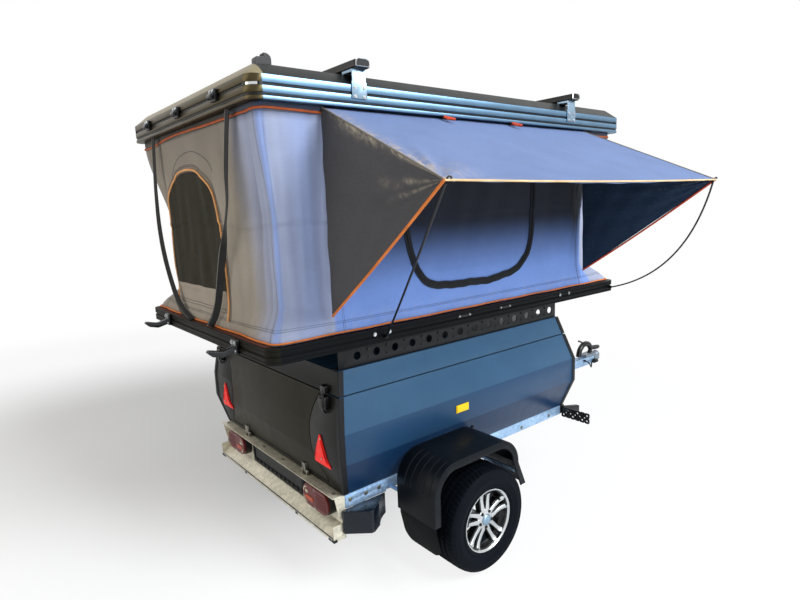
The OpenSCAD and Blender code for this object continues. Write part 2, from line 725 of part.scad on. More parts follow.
module jockey_crank() color([0.1, 0.1, 0.1]) {
    translate([jockey_x, jockey_y, tube_z1 + seat]) {
        cylinder(r = 19, h = 10);
        translate([0, 0, 10 - eps]) cylinder(r = 7, h = 16);
        rotate([0, 0, 160]) translate([-8, -9, 20]) cube([92, 18, 6]);
        rotate([0, 0, 160]) translate([74, 0, 24]) cylinder(r = 9, h = 34);
    }
}

module jockey_fork() color([0.68, 0.7, 0.72]) {
    head_z = leg_z0 - fork_drop;
    axle_x = jockey_x - jockey_trail;
    translate([jockey_x, jockey_y, head_z]) cylinder(r = caster_pin_r, h = caster_pin_h);
    block([jockey_x - 26, jockey_y - jockey_cheek_y - 4, head_z],
        [jockey_x + 24, jockey_y + jockey_cheek_y + 4, head_z + 7]);
    for (s = [-1, 1], y = jockey_y + s * (jockey_cheek_y + 2)) along_y(y - 2, y + 2)
        polygon([[jockey_x - 26, head_z + 3], [jockey_x + 24, head_z + 3],
            [axle_x + 15, jockey_axle_z - 6], [axle_x + 7, jockey_axle_z - 15],
            [axle_x - 7, jockey_axle_z - 15], [axle_x - 15, jockey_axle_z - 6]]);
    translate([axle_x, 0, jockey_axle_z])
        rod_y(jockey_pin_r, jockey_y - jockey_cheek_y - 7, jockey_y + jockey_cheek_y + 7);
}

module jockey_wheel() color([0.08, 0.08, 0.08])
    translate([jockey_x - jockey_trail, jockey_y, jockey_axle_z]) rotate([-90, 0, 0])
        rotate_extrude($fn = 96) {
            r = jockey_d / 2;
            w = jockey_w / 2;
            b = jockey_pin_r + running;
            polygon([[b, -w], [24, -w], [26, -10], [r - 34, -10], [r - 30, -w + 4], [r - 6, -w + 2],
                [r, -w + 10], [r, w - 10], [r - 6, w - 2], [r - 30, w - 4], [r - 34, 10],
                [26, 10], [24, w], [b, w]]);
        }

// ---------------------------------------------------------------- racks and tent base

module rack_rail() difference() {
    along_x(box_x0 + lean_rear_high + 8, box_x1 - lean_front_high - 12) polygon([
        [rack_y - 40, rack_z0 + seat], [rack_y, rack_z0 + seat], [rack_y, tray_z0 - seat],
        [rack_y - 40, tray_z0 - seat], [rack_y - 40, tray_z0 - 3 - seat],
        [rack_y - 3, tray_z0 - 3 - seat], [rack_y - 3, rack_z0 + 3 + seat],
        [rack_y - 40, rack_z0 + 3 + seat]]);
    for (x = [box_x0 + lean_rear_high + 100 : rack_pitch : box_x1 - lean_front_high - 60])
        translate([x, 0, rack_z0 + rack_h * 0.45]) rod_y(rack_hole_d / 2, rack_y - 5, rack_y + 1);
}
module rack_rail_left() color([0.06, 0.06, 0.06]) rack_rail();
module rack_rail_right() color([0.06, 0.06, 0.06]) mirror([0, 1, 0]) rack_rail();

// Frame of a tent shell: two stacked box extrusions with a deep groove between them.
module shell_frame(x0, x1, z0, z1, grooves) difference() {
    tent_ring(x0, x1, z0, z1, 0, extrusion_t);
    for (g = grooves) tent_ring(x0 - 1, x1 + 1, g[0], g[1], -1, g[2] + 1);
}

module tray_frame() color([0.07, 0.07, 0.08])
    shell_frame(tent_x0, tent_x1, tray_z0, tray_z1,
        [[tray_z0 + 26, tray_z0 + 36, 6], [tray_z0 + 10, tray_z0 + 12, 2],
        [tray_z1 - 12, tray_z1 - 10, 2]]);

module tray_floor() color([0.25, 0.25, 0.26]) {
    inset = extrusion_t + seat;
    translate([0, 0, tray_z0]) linear_extrude(floor_t)
        round_rect([tent_x0 + inset, -tent_y + inset], [tent_x1 - inset, tent_y - inset],
            max(corner_r - extrusion_t, shell_inner_r));
}

module tray_latches() color([0.05, 0.05, 0.05]) both_sides() {
    block([tent_x0 - 14, latch_y - 26, tray_z0 + 4], [tent_x0 - seat, latch_y + 26, tray_z1 - 2]);
    along_y(latch_y - 14, latch_y + 14) polygon([
        [tent_x0 - 13, tray_z0 + 10], [tent_x0 - 13, tray_z0 + 34], [tent_x0 - 60, tray_z0 + 22],
        [tent_x0 - 112, tray_z0 + 34], [tent_x0 - 118, tray_z0 + 26], [tent_x0 - 100, tray_z0 + 8],
        [tent_x0 - 60, tray_z0 - 2]]);
}

// ---------------------------------------------------------------- tent roof

module roof_frame() color([0.72, 0.73, 0.74])
    shell_frame(tent_x0, roof_x1, roof_z0, roof_z1,
        [[roof_z0 + 44, roof_z0 + 54, 6], [roof_z0 + 12, roof_z0 + 22, 5]]);

// Plate of the roof's plan, moved in by `inset`.
module roof_plate(inset, z, t) translate([0, 0, z]) linear_extrude(t)
    round_rect([tent_x0 + inset, -tent_y + inset], [roof_x1 - inset, tent_y - inset], 34, $fn = 32);

module roof_panel() color([0.1, 0.1, 0.1]) difference() {
    hull() {
        roof_plate(6, roof_z1 + seat, 2);
        roof_plate(roof_bevel, roof_top_z - 2, 2);
    }
    hull() {
        roof_plate(extrusion_t + 4, roof_z1 - 1, 2);
        roof_plate(roof_bevel + 20, roof_top_z - roof_skin - 2, 2);
    }
}

module roof_crossbars() color([0.15, 0.15, 0.16]) for (x = bar_xs) difference() {
    block([x - crossbar_w / 2, -tent_y - 28, bar_z], [x + crossbar_w / 2, tent_y + 28, bar_z + crossbar_h]);
    for (y = [-tent_y - 29, tent_y - 60])
        block([x - 8, y, bar_z + crossbar_h - 12], [x + 8, y + 89, bar_z + crossbar_h + 1]);
}

module crossbar_clamps() color([0.5, 0.5, 0.5]) for (x = bar_xs) both_sides() {
    block([x - 33, tent_y + seat, roof_z0 + 30], [x + 33, tent_y + 6, roof_z1 + 12]);
    block([x - 30, tent_y - 60, roof_top_z + seat], [x + 30, tent_y + 6, bar_z - seat]);
    block([x - 30, tent_y + seat, roof_z1 + 10], [x + 30, tent_y + 6, bar_z - seat]);
}

module roof_catches() color([0.06, 0.06, 0.06]) for (y = [-latch_y, 0, latch_y])
    along_y(y - 20, y + 20) polygon([
        [tent_x0 - seat, roof_z0 + 36], [tent_x0 - seat, roof_z0 + 66], [tent_x0 - 10, roof_z0 + 66],
        [tent_x0 - 26, roof_z0 + 50], [tent_x0 - 26, roof_z0 + 40], [tent_x0 - 12, roof_z0 + 36]]);

module roof_hook() color([0.04, 0.04, 0.04]) {
    hx = tent_x0 + 62;
    block([hx, -tent_y + 62, roof_top_z + seat], [hx + 60, -tent_y + 102, roof_top_z + 14]);
    along_y(-tent_y + 74, -tent_y + 90) polygon([
        [hx, roof_top_z + 12], [hx + 40, roof_top_z + 12], [hx + 26, roof_top_z + 26],
        [hx + 30, roof_top_z + 40], [hx + 18, roof_top_z + 42], [hx + 8, roof_top_z + 26]]);
}

// ---------------------------------------------------------------- canvas and awning

module canvas() color([0.5, 0.55, 0.65]) {
    z0 = tray_z1 + seat;
    z1 = roof_z0 - seat;
    translate([0, 0, z0]) linear_extrude(z1 - z0) difference() {
        round_rect([canvas_x0, -canvas_y], [canvas_x1, canvas_y], 30);
        round_rect([canvas_x0 + canvas_t, -canvas_y + canvas_t],
            [canvas_x1 - canvas_t, canvas_y - canvas_t], 30 - canvas_t);
    }
}

// A thin triangular or four-sided panel: its corners, pushed out along `push`.
module panel(corners, push) {
    n = len(corners);
    polyhedron(concat(corners, [for (c = corners) c + push]), concat(
        [[for (i = [0 : n - 1]) i]], [[for (i = [n - 1 : -1 : 0]) n + i]],
        [for (i = [0 : n - 1]) [i, n + i, n + (i + 1) % n, (i + 1) % n]]));
}

module awning() color([0.45, 0.5, 0.6]) {
    outer_rear = [awning_outer_x0, awning_y1, awning_edge_z];
    outer_front = [awning_outer_x1, awning_y1, awning_edge_z];
    top_rear = [awning_x0, awning_y0, awning_top_z];
    top_front = [awning_x1, awning_y0, awning_top_z];
    panel([top_rear, outer_rear, outer_front, top_front], [0, 0, -awning_t]);
    panel([top_rear, [awning_x0, awning_y0, wing_foot_z], outer_rear], [awning_t, 0, 0]);
    panel([top_front, outer_front, [awning_x1 + 30, awning_y0, wing_foot_z]], [-awning_t, 0, 0]);
}

// Points of a rod: out of its hole in the base, in a bow, and up into the awning's corner.
function rod_points(foot, tip, bow) = concat([foot], [for (i = [0 : 12]) let (t = i / 12)
    foot + [0, -12, 0] + t * (tip - foot + [0, 12, -12]) + 4 * t * (1 - t) * bow], [tip]);

module awning_rods() color([0.2, 0.2, 0.2]) {
    foot_y = -tent_y - seat;
    foot_z = tray_z0 + 24;
    tip_y = awning_y1 + rod_d / 2 + 2;
    tip_z = awning_edge_z - awning_t + 2 * awning_drop / awning_reach - seat;
    for (r = [[-374, awning_outer_x0 + 10, [0, 0, -6]], [tent_x1 - 60, awning_outer_x1 - 10, [40, -60, -90]]])
        tube_along(rod_points([r[0], foot_y, foot_z], [r[1], tip_y, tip_z], r[2]), rod_d / 2, 8, [1, 0, 0]);
}

strap_t = 2;
strap_w = 25;
// Each strap hangs down from the roof and is tucked in at the base: pairs of y and share of the height.
strap_lines = [[[-470, 1], [-425, 0.7], [-384, 0.52], [-253, 0.22], [-120, 0]],
    [[390, 1], [400, 0.7], [366, 0.36], [283, 0.09], [183, 0.03], [89, 0]]];
module roof_straps() color([0.05, 0.05, 0.05]) for (line = strap_lines) {
    h = pop_up - 2 * seat;
    last = len(line) - 1;
    along_x(tent_x0 + 8, tent_x0 + 8 + strap_t) translate([0, tray_z1 + seat]) polygon(concat(
        [for (p = line) [p[0] - strap_w / 2, p[1] * h]],
        [for (i = [last : -1 : 0]) [line[i][0] + strap_w / 2, line[i][1] * h]]));
}

// ---------------------------------------------------------------- drawing

place() side_rails();
place() cross_members();
place() drawbar();
place() coupling_head();
place() coupling_handle();
place() coupling_cable();
place() cable_fittings();
place() lamp_board();
place() tail_lamps();
place() plate_holder();
place() axle_beam();
place() swing_arms();
place() mudguard_left();
place() mudguard_right();
place() mud_flaps();
place() mudguard_stays();
place() box_tub();
place() hinge_pins();
place() box_latches();
place() reflectors();
place() wheel_chocks();
place() chock_holders();
place() marker_lamps();
place() on_left() jockey_clamp();
place() tailgate();
place() tailgate_hinges();
place() box_lid();
place() lid_hinges();
place() latch_keepers();
place() rack_rail_left();
place() rack_rail_right();
place() tray_frame();
place() tray_floor();
place() tray_latches();
place() canvas();
place() awning();
place() awning_rods();
place() roof_straps();
place() roof_frame();
place() roof_panel();
place() roof_crossbars();
place() crossbar_clamps();
place() roof_catches();
place() roof_hook();
place() rim_left();
place() tyre_left();
place() rim_right();
place() tyre_right();
place() on_left() jockey_leg();
place() on_left() jockey_crank();
place() on_left() jockey_fork();
place() on_left() jockey_wheel();
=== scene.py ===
"""Looks of a single-axle box trailer with an erected roof tent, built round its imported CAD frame.

Lengths are metres in the part's own frame: +X forward, +Y to the left, +Z up, with the origin
at the centre of the coupling's ball socket.
"""
from __future__ import annotations

import json
import logging
import math
from dataclasses import dataclass, field
from enum import Enum
from typing import Iterable, Sequence

import bmesh
import bpy
import numpy as np
from mathutils import Matrix, Vector

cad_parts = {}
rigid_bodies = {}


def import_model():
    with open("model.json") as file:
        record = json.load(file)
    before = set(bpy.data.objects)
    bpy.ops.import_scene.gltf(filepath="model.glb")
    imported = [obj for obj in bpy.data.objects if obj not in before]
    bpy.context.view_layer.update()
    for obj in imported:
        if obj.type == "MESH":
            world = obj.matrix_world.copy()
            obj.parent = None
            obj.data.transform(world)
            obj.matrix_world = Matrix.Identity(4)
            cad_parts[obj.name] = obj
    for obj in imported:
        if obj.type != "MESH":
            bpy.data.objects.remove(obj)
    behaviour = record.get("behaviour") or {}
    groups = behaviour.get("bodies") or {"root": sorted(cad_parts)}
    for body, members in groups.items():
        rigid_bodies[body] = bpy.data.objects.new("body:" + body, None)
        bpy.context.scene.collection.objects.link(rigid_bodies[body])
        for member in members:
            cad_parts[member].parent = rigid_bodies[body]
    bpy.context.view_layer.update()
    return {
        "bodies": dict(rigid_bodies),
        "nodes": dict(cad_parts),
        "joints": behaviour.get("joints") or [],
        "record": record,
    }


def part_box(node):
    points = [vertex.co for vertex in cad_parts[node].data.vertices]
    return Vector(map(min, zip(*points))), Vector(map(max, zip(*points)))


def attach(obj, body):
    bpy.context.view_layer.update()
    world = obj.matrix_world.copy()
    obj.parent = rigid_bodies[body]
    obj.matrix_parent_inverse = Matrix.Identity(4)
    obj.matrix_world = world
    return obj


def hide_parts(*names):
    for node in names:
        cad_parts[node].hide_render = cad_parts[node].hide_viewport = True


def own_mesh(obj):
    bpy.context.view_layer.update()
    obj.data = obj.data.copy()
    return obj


LOG = logging.getLogger("trailer")
Colour = tuple[float, float, float]
Point = Sequence[float]
MM = 0.001
BALL_TO_AXLE = 2.25
BALL_HEIGHT = 0.37
BENDS = (0.227, 0.355)  # levels of the box's two horizontal bends


class Body(str, Enum):
    """Bodies of the frame that pieces ride on."""

    CHASSIS = "chassis"
    TAILGATE = "tailgate_body"
    LID = "lid_body"
    ROOF = "roof_body"
    LEFT_WHEEL = "left_wheel"
    RIGHT_WHEEL = "right_wheel"
    LEG = "jockey_leg_body"
    SWIVEL = "jockey_swivel"
    JOCKEY = "jockey_wheel_body"


class Side(Enum):
    """Left and right of the trailer, as the sign of Y."""

    LEFT = 1
    RIGHT = -1


@dataclass(frozen=True)
class Extent:
    """Lowest and highest corner of a CAD node."""

    lo: Vector
    hi: Vector

    @classmethod
    def of(cls, node: str) -> Extent:
        """The extent of the node with that name."""
        return cls(*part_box(node))

    @property
    def centre(self) -> Vector:
        """Middle of the extent."""
        return (self.lo + self.hi) / 2

    @property
    def size(self) -> Vector:
        """Length of the extent's three sides."""
        return self.hi - self.lo


def smooth_step(value: np.ndarray | float, low: float, high: float) -> np.ndarray:
    """Smooth rise from 0 at `low` to 1 at `high`."""
    t = np.clip((np.asarray(value, float) - low) / (high - low), 0, 1)
    return t * t * (3 - 2 * t)


def rgb(red: int, green: int, blue: int) -> Colour:
    """Linear colour of a display colour given as 0 to 255."""
    parts = [c / 255 for c in (red, green, blue)]
    return tuple(c / 12.92 if c <= 0.04045 else ((c + 0.055) / 1.055) ** 2.4 for c in parts)


def shade(colour: Colour, factor: float) -> Colour:
    """The colour made darker or lighter."""
    return tuple(min(1.0, c * factor) for c in colour)


# ------------------------------------------------------------------ shader building


class Value:
    """A socket of a material under construction, on which Python's operators work."""

    def __init__(self, shader: Shader, socket: bpy.types.NodeSocket) -> None:
        self.shader = shader
        self.socket = socket

    def _math(self, operation: str, *others: Value | float, first: int = 0) -> Value:
        """Adds a Math node; `first` is the input that this value goes to."""
        values = list(others)
        values.insert(first, self)
        return self.shader.node("ShaderNodeMath", dict(operation=operation), *values)

    def __add__(self, other: Value | float) -> Value:
        """Sum."""
        return self._math("ADD", other)

    __radd__ = __add__

    def __sub__(self, other: Value | float) -> Value:
        """Difference."""
        return self._math("SUBTRACT", other)

    def __rsub__(self, other: float) -> Value:
        """Difference from a number."""
        return self._math("SUBTRACT", other, first=1)

    def __mul__(self, other: Value | float) -> Value:
        """Product."""
        return self._math("MULTIPLY", other)

    __rmul__ = __mul__

    def sine(self) -> Value:
        """Sine, in radians."""
        return self._math("SINE")

    def larger(self, other: float) -> Value:
        """The larger of two numbers."""
        return self._math("MAXIMUM", other)

    def ridge(self, low: float, high: float) -> Value:
        """Smooth 0 to 1 between two levels."""
        settings = dict(interpolation_type="SMOOTHSTEP")
        return self.shader.node("ShaderNodeMapRange", settings, self, low, high, 0.0, 1.0)


class Shader:
    """A material under construction, with one Principled surface."""

    def __init__(self, name: str) -> None:
        self.material = bpy.data.materials.new(name)
        self.material.use_nodes = True
        self.tree = self.material.node_tree
        self.surface = self.tree.nodes["Principled BSDF"]

    def node(self, kind: str, settings: dict | None, *values: object, out: int | str = 0) -> Value:
        """Adds a node.

        Args:
            kind: the node's type.
            settings: its properties, set before its inputs.
            values: numbers, colours or Values for its inputs in order; None leaves one alone.
            out: index or name of the output that is used.

        Returns:
            The output's value.
        """
        made = self.tree.nodes.new(kind)
        for key, value in (settings or {}).items():
            setattr(made, key, value)
        sockets = [s for s in made.inputs if s.enabled]
        for socket, value in zip(sockets, values):
            self.set(socket, value)
        outputs = [s for s in made.outputs if s.enabled]
        return Value(self, made.outputs[out] if isinstance(out, str) else outputs[out])

    def set(self, socket: bpy.types.NodeSocket, value: object) -> None:
        """Links or writes an input."""
        if isinstance(value, Value):
            self.tree.links.new(value.socket, socket)
        elif value is not None:
            if socket.type == "RGBA" and len(value) == 3:
                value = (*value, 1.0)
            socket.default_value = value

    def place(self, scale: Point = (1, 1, 1), turn: Point = (0, 0, 0)) -> Value:
        """Object coordinates, scaled and turned."""
        here = self.node("ShaderNodeTexCoord", None, out="Object")
        return self.node("ShaderNodeMapping", None, here, (0, 0, 0), turn, scale)

    def run(self, scale: Point = (1, 1, 1)) -> Value:
        """The piece's own UV map, which is in metres, scaled."""
        here = self.node("ShaderNodeUVMap", dict(uv_map="run"))
        return self.node("ShaderNodeMapping", None, here, (0, 0, 0), (0, 0, 0), scale)

    def part(self, vector: Value, index: int) -> Value:
        """One coordinate of a vector."""
        return self.node("ShaderNodeSeparateXYZ", None, vector, out=index)

    def noise(self, scale: float, detail: float = 3, rough: float = 0.55, place: Value | None = None,
              distort: float = 0.0) -> Value:
        """Noise of about 0 to 1 with `scale` features to the metre."""
        where = place or self.place()
        made = self.node("ShaderNodeTexNoise", dict(noise_dimensions="3D"), where)
        inputs = made.socket.node.inputs
        inputs["Scale"].default_value = scale
        inputs["Detail"].default_value = detail
        inputs["Roughness"].default_value = rough
        inputs["Distortion"].default_value = distort
        return Value(self, made.socket.node.outputs[0])

    def cells(self, scale: float, place: Value | None = None, out: str = "Color") -> Value:
        """Voronoi cells, `scale` to the metre."""
        made = self.node("ShaderNodeTexVoronoi", dict(feature="F1"), place or self.place())
        made.socket.node.inputs["Scale"].default_value = scale
        return Value(self, made.socket.node.outputs[out])

    def grey(self, colour: Value) -> Value:
        """Brightness of a colour."""
        return self.node("ShaderNodeRGBToBW", None, colour)

    def mix(self, share: Value | float, first: Value | Colour, second: Value | Colour) -> Value:
        """Colour between two colours."""
        made = self.node("ShaderNodeMix", dict(data_type="RGBA"))
        factor, low, high = [s for s in made.socket.node.inputs if s.enabled]
        self.set(factor, share)
        self.set(low, first)
        self.set(high, second)
        return made

    def behind(self, edge: float, below: float, above: float) -> Value:
        """1 behind an edge along Y, 0 ahead of it.

        Args:
            edge: X of the edge at its rearmost level.
            below: how far the edge leads forward for each metre below that level.
            above: the same for each metre above it.

        Returns:
            The share.
        """
        here = self.place()
        height = self.part(here, 2)
        low = (BENDS[0] - height).larger(0.0) * below
        high = (height - BENDS[1]).larger(0.0) * above
        return 1.0 - (self.part(here, 0) - low - high).ridge(edge, edge + 0.006)

    def attribute(self, name: str) -> Value:
        """A mesh attribute's number."""
        return self.node("ShaderNodeAttribute", dict(attribute_name=name), out="Fac")

    def bump(self, height: Value, depth: float) -> Value:
        """Normal of a surface that rises by `depth` metres where the height is 1."""
        made = self.node("ShaderNodeBump", None)
        inputs = made.socket.node.inputs
        inputs["Strength"].default_value = 1.0
        inputs["Distance"].default_value = depth
        self.set(inputs["Height"], height)
        return made

    def done(self, **inputs: object) -> bpy.types.Material:
        """Sets the surface's inputs, named with underscores, and returns the material."""
        for key, value in inputs.items():
            self.set(self.surface.inputs[key.replace("_", " ")], value)
        return self.material


# ------------------------------------------------------------------ finishes


@dataclass(frozen=True)
class Moulded:
    """Painted, laminated or moulded surface with a fine grain, soft mottling and handling marks."""

    colour: Colour
    rough: float = 0.5
    grain: float = 700
    depth: float = 0.00006
    mottle: float = 0.15
    coat: float = 0.0
    gloss: float = 0.3
    dust: Colour | None = None
    # colour behind rear_edge: painted shade and reflection on the rear faces
    rear: Colour | None = None
    rear_edge: tuple[float, float, float] = (-2.838, 0.0, 0.0)
    # colours below each level: painted shade on the lower facets
    bands: tuple[tuple[float, Colour], ...] = ()

    def make(self, name: str) -> bpy.types.Material:
        """The material, with darker facets below some levels as painted shade, and its second tone at
        the rear as painted shade and reflection.
        """
        s = Shader(name)
        cloud = s.noise(5, 4, 0.6)
        tone = s.mix(cloud.ridge(0.3, 0.7), shade(self.colour, 1 - self.mottle), self.colour)
        # painted shade: darker facets below each level
        for level, colour in self.bands:
            above = s.part(s.place(), 2).ridge(level - 0.002, level + 0.002)
            tone = s.mix(above, colour, tone)
        # painted shade and reflection on the rear faces
        if self.rear:
            tone = s.mix(s.behind(*self.rear_edge), tone, self.rear)
        if self.dust:
            tone = s.mix(s.noise(14, 6, 0.7, distort=0.6).ridge(0.52, 0.85) * 0.3, tone, self.dust)
        smear = s.noise(22, 5, 0.65, s.place((1, 1, 0.4)))
        fine = s.noise(self.grain, 2, 0.5)
        return s.done(Base_Color=tone, Roughness=smear * 0.24 + (self.rough - 0.12),
                      Coat_Weight=self.coat, Coat_Roughness=0.12, Specular_IOR_Level=self.gloss,
                      Normal=s.bump(fine + s.noise(9, 2) * 2.0, self.depth))


@dataclass(frozen=True)
class Zinc:
    """Hot-dip galvanised steel, with its spangle, dull patches and runs."""

    bright: Colour = rgb(176, 206, 236)
    dull: Colour = rgb(134, 164, 196)
    spangle: float = 110
    rough: float = 0.42
    metallic: float = 0.6
    runs: float = 0.3

    def make(self, name: str) -> bpy.types.Material:
        """The material."""
        s = Shader(name)
        flake = s.grey(s.cells(self.spangle, s.place((1, 1, 1), (0.4, 0.3, 0.2))))
        broad = s.noise(7, 5, 0.65)
        tone = s.mix((flake * 0.35 + broad * 0.7).ridge(0.25, 0.8), self.dull, self.bright)
        tone = s.mix(s.noise(26, 5, 0.7, s.place((1, 0.3, 0.6))).ridge(0.56, 0.8) * self.runs, tone,
                     shade(self.dull, 0.62))
        return s.done(Base_Color=tone, Metallic=self.metallic,
                      Roughness=flake * 0.16 + (self.rough - 0.08),
                      Normal=s.bump(s.noise(60, 3) + s.noise(500, 2) * 0.15, 0.00005))


@dataclass(frozen=True)
class Metal:
    """Bare or anodised metal, drawn or brushed along X, Y or Z."""

    colour: Colour
    rough: float = 0.35
    along: int = 0
    brush: float = 0.000006
    metallic: float = 1.0
    tarnish: Colour | None = None
    # colour behind rear_edge: painted reflection on the rear faces
    rear: Colour | None = None
    rear_edge: float = 0.0

    def make(self, name: str) -> bpy.types.Material:
        """The material."""
        s = Shader(name)
        stretch = [600.0, 600.0, 600.0]
        stretch[self.along] = 9.0
        line = s.noise(1, 3, 0.6, s.place(stretch))
        cloud = s.noise(8, 4, 0.6)
        tone = s.mix(cloud.ridge(0.25, 0.75), shade(self.colour, 0.84), self.colour)
        if self.tarnish:
            tone = s.mix(s.noise(18, 5, 0.7).ridge(0.55, 0.8) * 0.5, tone, self.tarnish)
        # painted reflection on the rear faces
        if self.rear:
            tone = s.mix(s.behind(self.rear_edge, 0.0, 0.0), tone, self.rear)
        return s.done(Base_Color=tone, Metallic=self.metallic,
                      Roughness=line * 0.16 + cloud * 0.1 + (self.rough - 0.13),
                      Normal=s.bump(line, self.brush))


@dataclass(frozen=True)
class Canvas:
    """Coated poly-cotton cloth: plain weave, soft crumpling, grime towards its hem, and painted light
    and shade.
    """

    # side and rear colours: on the tent wall, one cloth painted skylit on the side and in warm shade at
    # the rear
    side: Colour
    rear: Colour
    # colour of the hem's grime on the wall, and of painted highlights on the awning
    worn: Colour
    # colour of the painted blue skylight and highlights on the wall
    sky: Colour = rgb(108, 143, 212)
    # colour of the painted shade: the awning's shadow on the wall, and shade under the roof and in the
    # creases
    dusk: Colour = rgb(24, 26, 31)
    thread: float = 0.0011
    crumple: float = 0.0014
    slub: float = 0.05
    rough: float = 0.82

    def make(self, name: str) -> bpy.types.Material:
        """The material, which reads mesh attributes for the share of its rear colour against its side
        colour (on the tent wall, painted light: a skylit side and a shaded rear of one cloth), for
        painted blue skylight, for painted shade, and for the way from clean to grimy on the wall's
        hem and to painted highlight on the awning."""
        s = Shader(name)
        turn = 2 * math.pi / self.thread
        run = s.run((1, 1, 1))
        warp = (s.part(run, 0) * turn).sine()
        weft = (s.part(run, 1) * turn).sine()
        weave = warp * weft
        # side to rear: on the tent wall, painted light and shade of one cloth
        cloth = s.mix(s.attribute("tint"), self.side, self.rear)
        # painted skylight and highlights
        cloth = s.mix(s.attribute("sky"), cloth, self.sky)
        cloud = s.noise(3.5, 5, 0.62, run, 0.4)
        cloth = s.mix(cloud.ridge(0.32, 0.7) * 0.22, cloth, s.mix(0.5, cloth, (0.01, 0.012, 0.016)))
        slub = s.noise(1, 3, 0.6, s.run((38, 420, 1)))
        cloth = s.mix(slub.ridge(0.45, 0.8) * self.slub, cloth, (0.9, 0.9, 0.9))
        # painted shade
        cloth = s.mix(s.attribute("dusk"), cloth, self.dusk)
        chalk = s.noise(26, 6, 0.7, run, 0.8).ridge(0.42, 0.66)
        # grime on the wall's hem, painted highlights on the awning
        cloth = s.mix(s.attribute("wear") * (chalk * 0.75 + 0.1), cloth, self.worn)
        height = weave * 0.05 + s.noise(34, 4, 0.6, run, 0.5) * 0.6 + s.noise(9, 4, 0.55, run, 0.8)
        return s.done(Base_Color=cloth, Roughness=slub * 0.1 + (self.rough - 0.05),
                      Sheen_Weight=0.05, Sheen_Roughness=0.5, Specular_IOR_Level=0.2,
                      Normal=s.bump(height, self.crumple))


@dataclass(frozen=True)
class Woven:
    """Narrow webbing, binding or net, with ribs across its run."""

    colour: Colour
    second: Colour
    pitch: float = 0.0024
    depth: float = 0.0004
    rough: float = 0.7
    cross: bool = False
    sheen: float = 0.0

    def make(self, name: str) -> bpy.types.Material:
        """The material."""
        s = Shader(name)
        turn = 2 * math.pi / self.pitch
        run = s.run()
        rib = (s.part(run, 0) * turn).sine() * 0.5 + 0.5
        if self.cross:
            rib = rib * ((s.part(run, 1) * turn).sine() * 0.5 + 0.5)
        tone = s.mix(rib.ridge(0.2, 0.9) * 0.8, self.colour, self.second)
        tone = s.mix(s.noise(11, 4, 0.6).ridge(0.35, 0.75) * 0.35, tone, shade(self.colour, 0.55))
        return s.done(Base_Color=tone, Roughness=s.noise(40, 2) * 0.2 + (self.rough - 0.1),
                      Sheen_Weight=self.sheen, Specular_IOR_Level=0.2, Normal=s.bump(rib, self.depth))


@dataclass(frozen=True)
class Lens:
    """Coloured lamp or reflector plastic over a field of small prisms."""

    colour: Colour
    prism: float = 0.004
    rough: float = 0.3
    deep: float = 0.35
    coat: float = 0.25

    def make(self, name: str) -> bpy.types.Material:
        """The material."""
        s = Shader(name)
        turn = 2 * math.pi / self.prism
        here = s.place()
        field_ = ((s.part(here, 1) + s.part(here, 0)) * turn).sine() * (s.part(here, 2) * turn).sine()
        tone = s.mix(field_.ridge(-0.4, 0.6), shade(self.colour, self.deep), self.colour)
        return s.done(Base_Color=tone, Roughness=s.noise(30, 3) * 0.12 + (self.rough - 0.05),
                      Coat_Weight=self.coat, Coat_Roughness=0.08, Specular_IOR_Level=0.3,
                      Normal=s.bump(field_, 0.0002))


@dataclass(frozen=True)
class Rubber:
    """Tyre or moulded rubber with dust in its pores."""

    colour: Colour
    dust: Colour
    amount: float = 0.25
    rough: float = 0.72

    def make(self, name: str) -> bpy.types.Material:
        """The material."""
        s = Shader(name)
        film = s.noise(16, 6, 0.7, distort=0.5).ridge(0.4, 0.8)
        tone = s.mix(film * self.amount, self.colour, self.dust)
        fine = s.noise(900, 2, 0.5)
        return s.done(Base_Color=tone, Roughness=film * 0.14 + (self.rough - 0.08),
                      Specular_IOR_Level=0.06, Normal=s.bump(fine + s.noise(60, 3) * 0.6, 0.00008))


